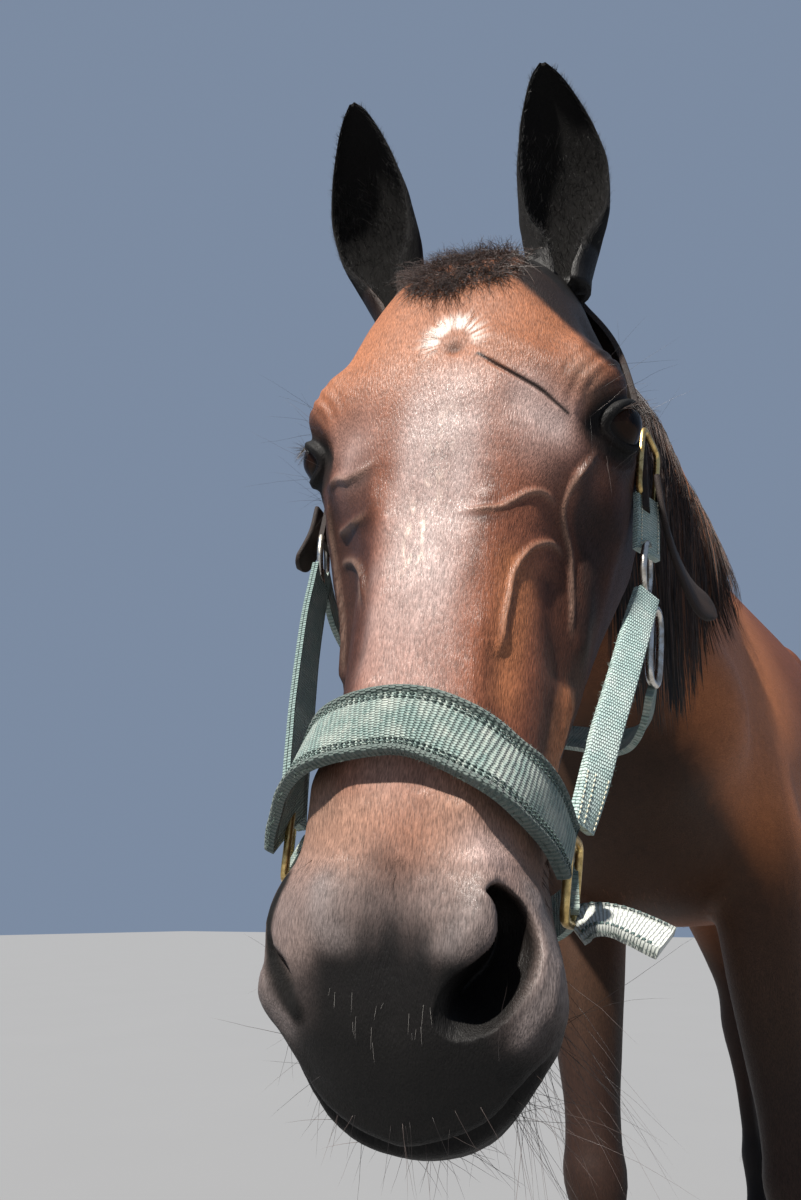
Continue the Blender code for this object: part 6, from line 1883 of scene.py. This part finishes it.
def makeHalter():
    laid = strapLine("noseband", 90, 0.007)
    fitBand("noseband_webbing", laid, 0.0355, 0.0066, rolledProfile, greenWebbing,
            "webbing_green", "noseband", crown=0.0004)
    rows, thread = (-0.365, -0.31, 0.31, 0.365), (0.055, 0.085, 0.075)
    makeStitches("noseband_stitches", *laid, 0.0355, rows, 0.0034, 0.0028, thread)
    makeFrays("noseband_frays", *laid, 0.0355, 420, 0.003, (0.1, 0.14, 0.12), 21)
    laid = strapLine("chin", 60, 0.005)
    fitBand("chin_webbing", laid, 0.0255, 0.0046, flatProfile, greenWebbing, "webbing_green", "chin_strap")
    laid = strapLine("tab", 34, 0.006)
    fitBand("tab_webbing", laid, 0.0335, 0.005, rolledProfile, tabWebbing, "webbing_green", "strap_end")
    makeStitches("tab_stitches", *laid, 0.0335, (-0.4, 0.4, 0.44), 0.0032, 0.003, (0.06, 0.1, 0.095))
    makeFrays("tab_frays", *laid, 0.0335, 260, 0.0035, (0.16, 0.2, 0.18), 22)
    for name, node, wide, seed in (("cheekLeft", "cheek_strap_left", 0.018, 23),
                                   ("cheekRight", "cheek_strap_right", 0.0248, 24)):
        laid = strapLine(name, 44, 0.006)
        fitBand(node + "_inner", laid, wide, 0.0028, flatProfile, paleWebbing,
                "webbing_pale", node, offset=-0.0014)
        fitBand(node + "_outer", laid, wide - 0.0006, 0.0026, flatProfile, paleWebbing,
                "webbing_pale", offset=0.0015)
        ends = [part[:10] for part in laid]
        makeStitches(node + "_stitches", *ends, wide, (-0.38, -0.1, 0.38), 0.003, 0.0027, (0.62, 0.58, 0.44))
        makeFrays(node + "_frays", *laid, wide, 150, 0.0028, (0.26, 0.34, 0.31), seed)
    laid = strapLine("billet", 20, 0.004)
    fitBand("billet_webbing", laid, 0.0225, 0.0046, flatProfile, paleWebbing, "webbing_pale")
    makeStitches("billet_stitches", *laid, 0.0225, (-0.36, 0.36), 0.003, 0.0024, (0.62, 0.6, 0.5))
    laid = strapLine("throat", 70, 0.005)
    fitBand("throat_webbing", laid, 0.0255, 0.0046, flatProfile, greenWebbing,
            "webbing_green", "throat_strap")
    laid = strapLine("crown", 90, 0.005, 0.0025)
    fitBand("crown_leather", laid, 0.0255, 0.0046, flatProfile, crownLeather, "leather_brown", "crown_strap")
    for name, node, wide in (("crownEndLeft", "crown_end_left", 0.0255),
            ("crownEndRight", "crown_end_right", 0.0235)):
        laid = strapLine(name, 40, 0.0042)
        share = shares(40)
        tip = np.sqrt(np.clip(1 - (np.clip(share - 0.84, 0, 1) / 0.16) ** 2, 0.02, 1))
        fitBand(node + "_leather", laid, wide * tip, 0.0044, softProfile, crownLeather, "leather_brown", node)


# Fittings: middle, flat side's direction, long way, long and short radius, bar, squareness, metal
fittings = tenths({
    "ring_side_left": ((690, 4840, 860), (0.98, 0.1, -0.02), (-0.15, 1.0, 0.1), 210, 165, 24, 5.0, "brass"),
    "ring_side_right": ((-950, 4700, 850), (-0.92, 0.05, -0.38), (0.05, 1.0, 0.1), 210, 165, 24, 5.0, "brass"),
    "ring_cheek_left": ((1140, 2815, 1080), (0.97, 0.1, -0.1), (0.0, 1.0, 0.1), 180, 125, 23, 2.0, "nickel"),
    "ring_cheek_right": ((-1215, 2500, 1130), (-0.95, 0.1, -0.2), (0.0, 1.0, 0.1), 210, 140, 24, 2.0, "nickel"),
    "ring_snap_left": ((1160, 3260, 1310), (0.92, 0.1, -0.3), (-0.12, 0.97, 0.1), 260, 90, 26, 3.0, "nickel"),
    "ring_buckle_left": ((1185, 1980, 1120), (0.95, 0.1, -0.25), (0.0, 1.0, 0.0), 270, 175, 23, 6.0, "brass"),
})


def makeFitting(node):
    centre, normal, longWay, longRadius, shortRadius, bar, square, metal = fittings[node]
    normal = unit(normal)
    longWay = np.array(longWay) - normal * (normal @ np.array(longWay))
    longWay = unit(longWay)
    shortWay = np.cross(normal, longWay)
    around, count = 56, 12
    t = circle(around)
    path = np.array(centre) + longWay * (longRadius * power(np.cos(t), 2 / square))[:, None]
    path = path + shortWay * (shortRadius * power(np.sin(t), 2 / square))[:, None]
    for _ in range(2):
        path = (np.roll(path, 1, 0) + path * 2 + np.roll(path, -1, 0)) / 4
    tangent = np.roll(path, -1, 0) - np.roll(path, 1, 0)
    tangent /= lengthOf(tangent)[:, None]
    out = np.cross(tangent, normal)
    k = circle(count)
    rings = path[:, None] + out[:, None] * (bar * np.cos(k))[None, :,
            None] + normal * (bar * np.sin(k))[None, :, None]
    rings = fromHead(rings)
    i, j = np.meshgrid(np.arange(around), np.arange(count), indexing="ij")
    n, m = (i + 1) % around, (j + 1) % count
    quads = ringQuads(i, j, n, m, count)
    obj = outward(meshFromArrays(node + "_metal", rings.reshape(-1, 3), quads))
    smoothed(obj)
    placed(wear(obj, {"brass": brass, "nickel": nickel}[metal]), metal, node)


makeHalter()
for node in fittings:
    makeFitting(node)
print("horse: halter")

# Hooves keep their solids, with a ringed horn finish
hoofLook = {"horn": (0.055, 0.046, 0.04), "pale": (0.135, 0.112, 0.09), "ringPitch": 0.0085}


def makeHorn():
    look = Shader("hoofHorn")
    place = look.place()
    height = look.add("SeparateXYZ", {0: place}).outputs[2]
    uneven = look.noise(place, 40.0, 3.0)
    wavy = look.plus(height, look.span(uneven, 0, 1, 0, 0.006))
    rings = look.math("SINE", look.times(wavy, 2 * pi / hoofLook["ringPitch"]))
    tubules = look.noise(look.stretched(place, (1.0, 1.0, 0.06)), 900.0, 3.0)
    tone = look.mix(look.span(tubules, 0.35, 0.65), hoofLook["horn"], hoofLook["pale"])
    look.colour(look.mix(look.span(rings, -0.5, 1.0, 0.0, 0.35), tone, (0.03, 0.026, 0.024)))
    look.rough(look.evenly(uneven, 0.42, 0.62))
    look.normal(look.bump(rings, 0.0007, 0.6, look.bump(tubules, 0.0003, 0.5)))
    return look.set(Specular_IOR_Level=0.4)


horn = makeHorn()
for name, obj in nodes.items():
    if name.startswith("hoof"):
        for slot in obj.material_slots:
            slot.material = horn

# Floor, lights and camera
studio = {"floor": (0.19, 0.193, 0.197), "world": (0.56, 0.72, 1.0), "fill": 0.36,
          "sun": 9.0, "sunTint": (1.0, 0.955, 0.89), "sunSize": 2.0, "sunWay": (0.05, 0.62, -0.78)}


def makeStage():
    deselectAll()
    bpy.ops.mesh.primitive_plane_add(size=70.0, location=(0, 0, -0.0006))
    floor = bpy.context.object
    floor.name = "studio_floor"
    look = Shader("studioFloor")
    tone = look.grain(1.6, 3.0)
    low, high = studio["floor"], tuple(min(1.0, c * 1.04) for c in studio["floor"])
    look.colour(look.mix(tone, low, high))
    wear(floor, look.set(Roughness=0.9))
    world = bpy.data.worlds.new("studioLight")
    world.use_nodes = True
    bpy.context.scene.world = world
    background = world.node_tree.nodes["Background"]
    background.inputs["Color"].default_value = (*studio["world"], 1.0)
    background.inputs["Strength"].default_value = studio["fill"]
    light = bpy.data.lights.new("highKey", "SUN")
    light.energy, light.angle, light.color = studio["sun"], radians(studio["sunSize"]), studio["sunTint"]
    key = bpy.data.objects.new("highKey", light)
    key.rotation_mode = "QUATERNION"
    key.rotation_quaternion = Vector(studio["sunWay"]).to_track_quat("-Z", "Y")
    link(key)
    bpy.context.scene.view_settings.view_transform = "Standard"


def makeCamera():
    data = bpy.data.cameras.new("photoView")
    data.sensor_fit, data.sensor_height, data.lens = "VERTICAL", 36.0, cameraSpec["lens"]
    data.clip_start = 0.01
    camera = bpy.data.objects.new("photoView", data)
    camera.location = Vector(cameraSpec["place"]) + shift
    camera.rotation_euler = (radians(90 + cameraSpec["rise"]), 0, radians(cameraSpec["turn"]))
    link(camera)
    bpy.context.scene.camera = camera


makeStage()
makeCamera()
print("horse: studio and camera")
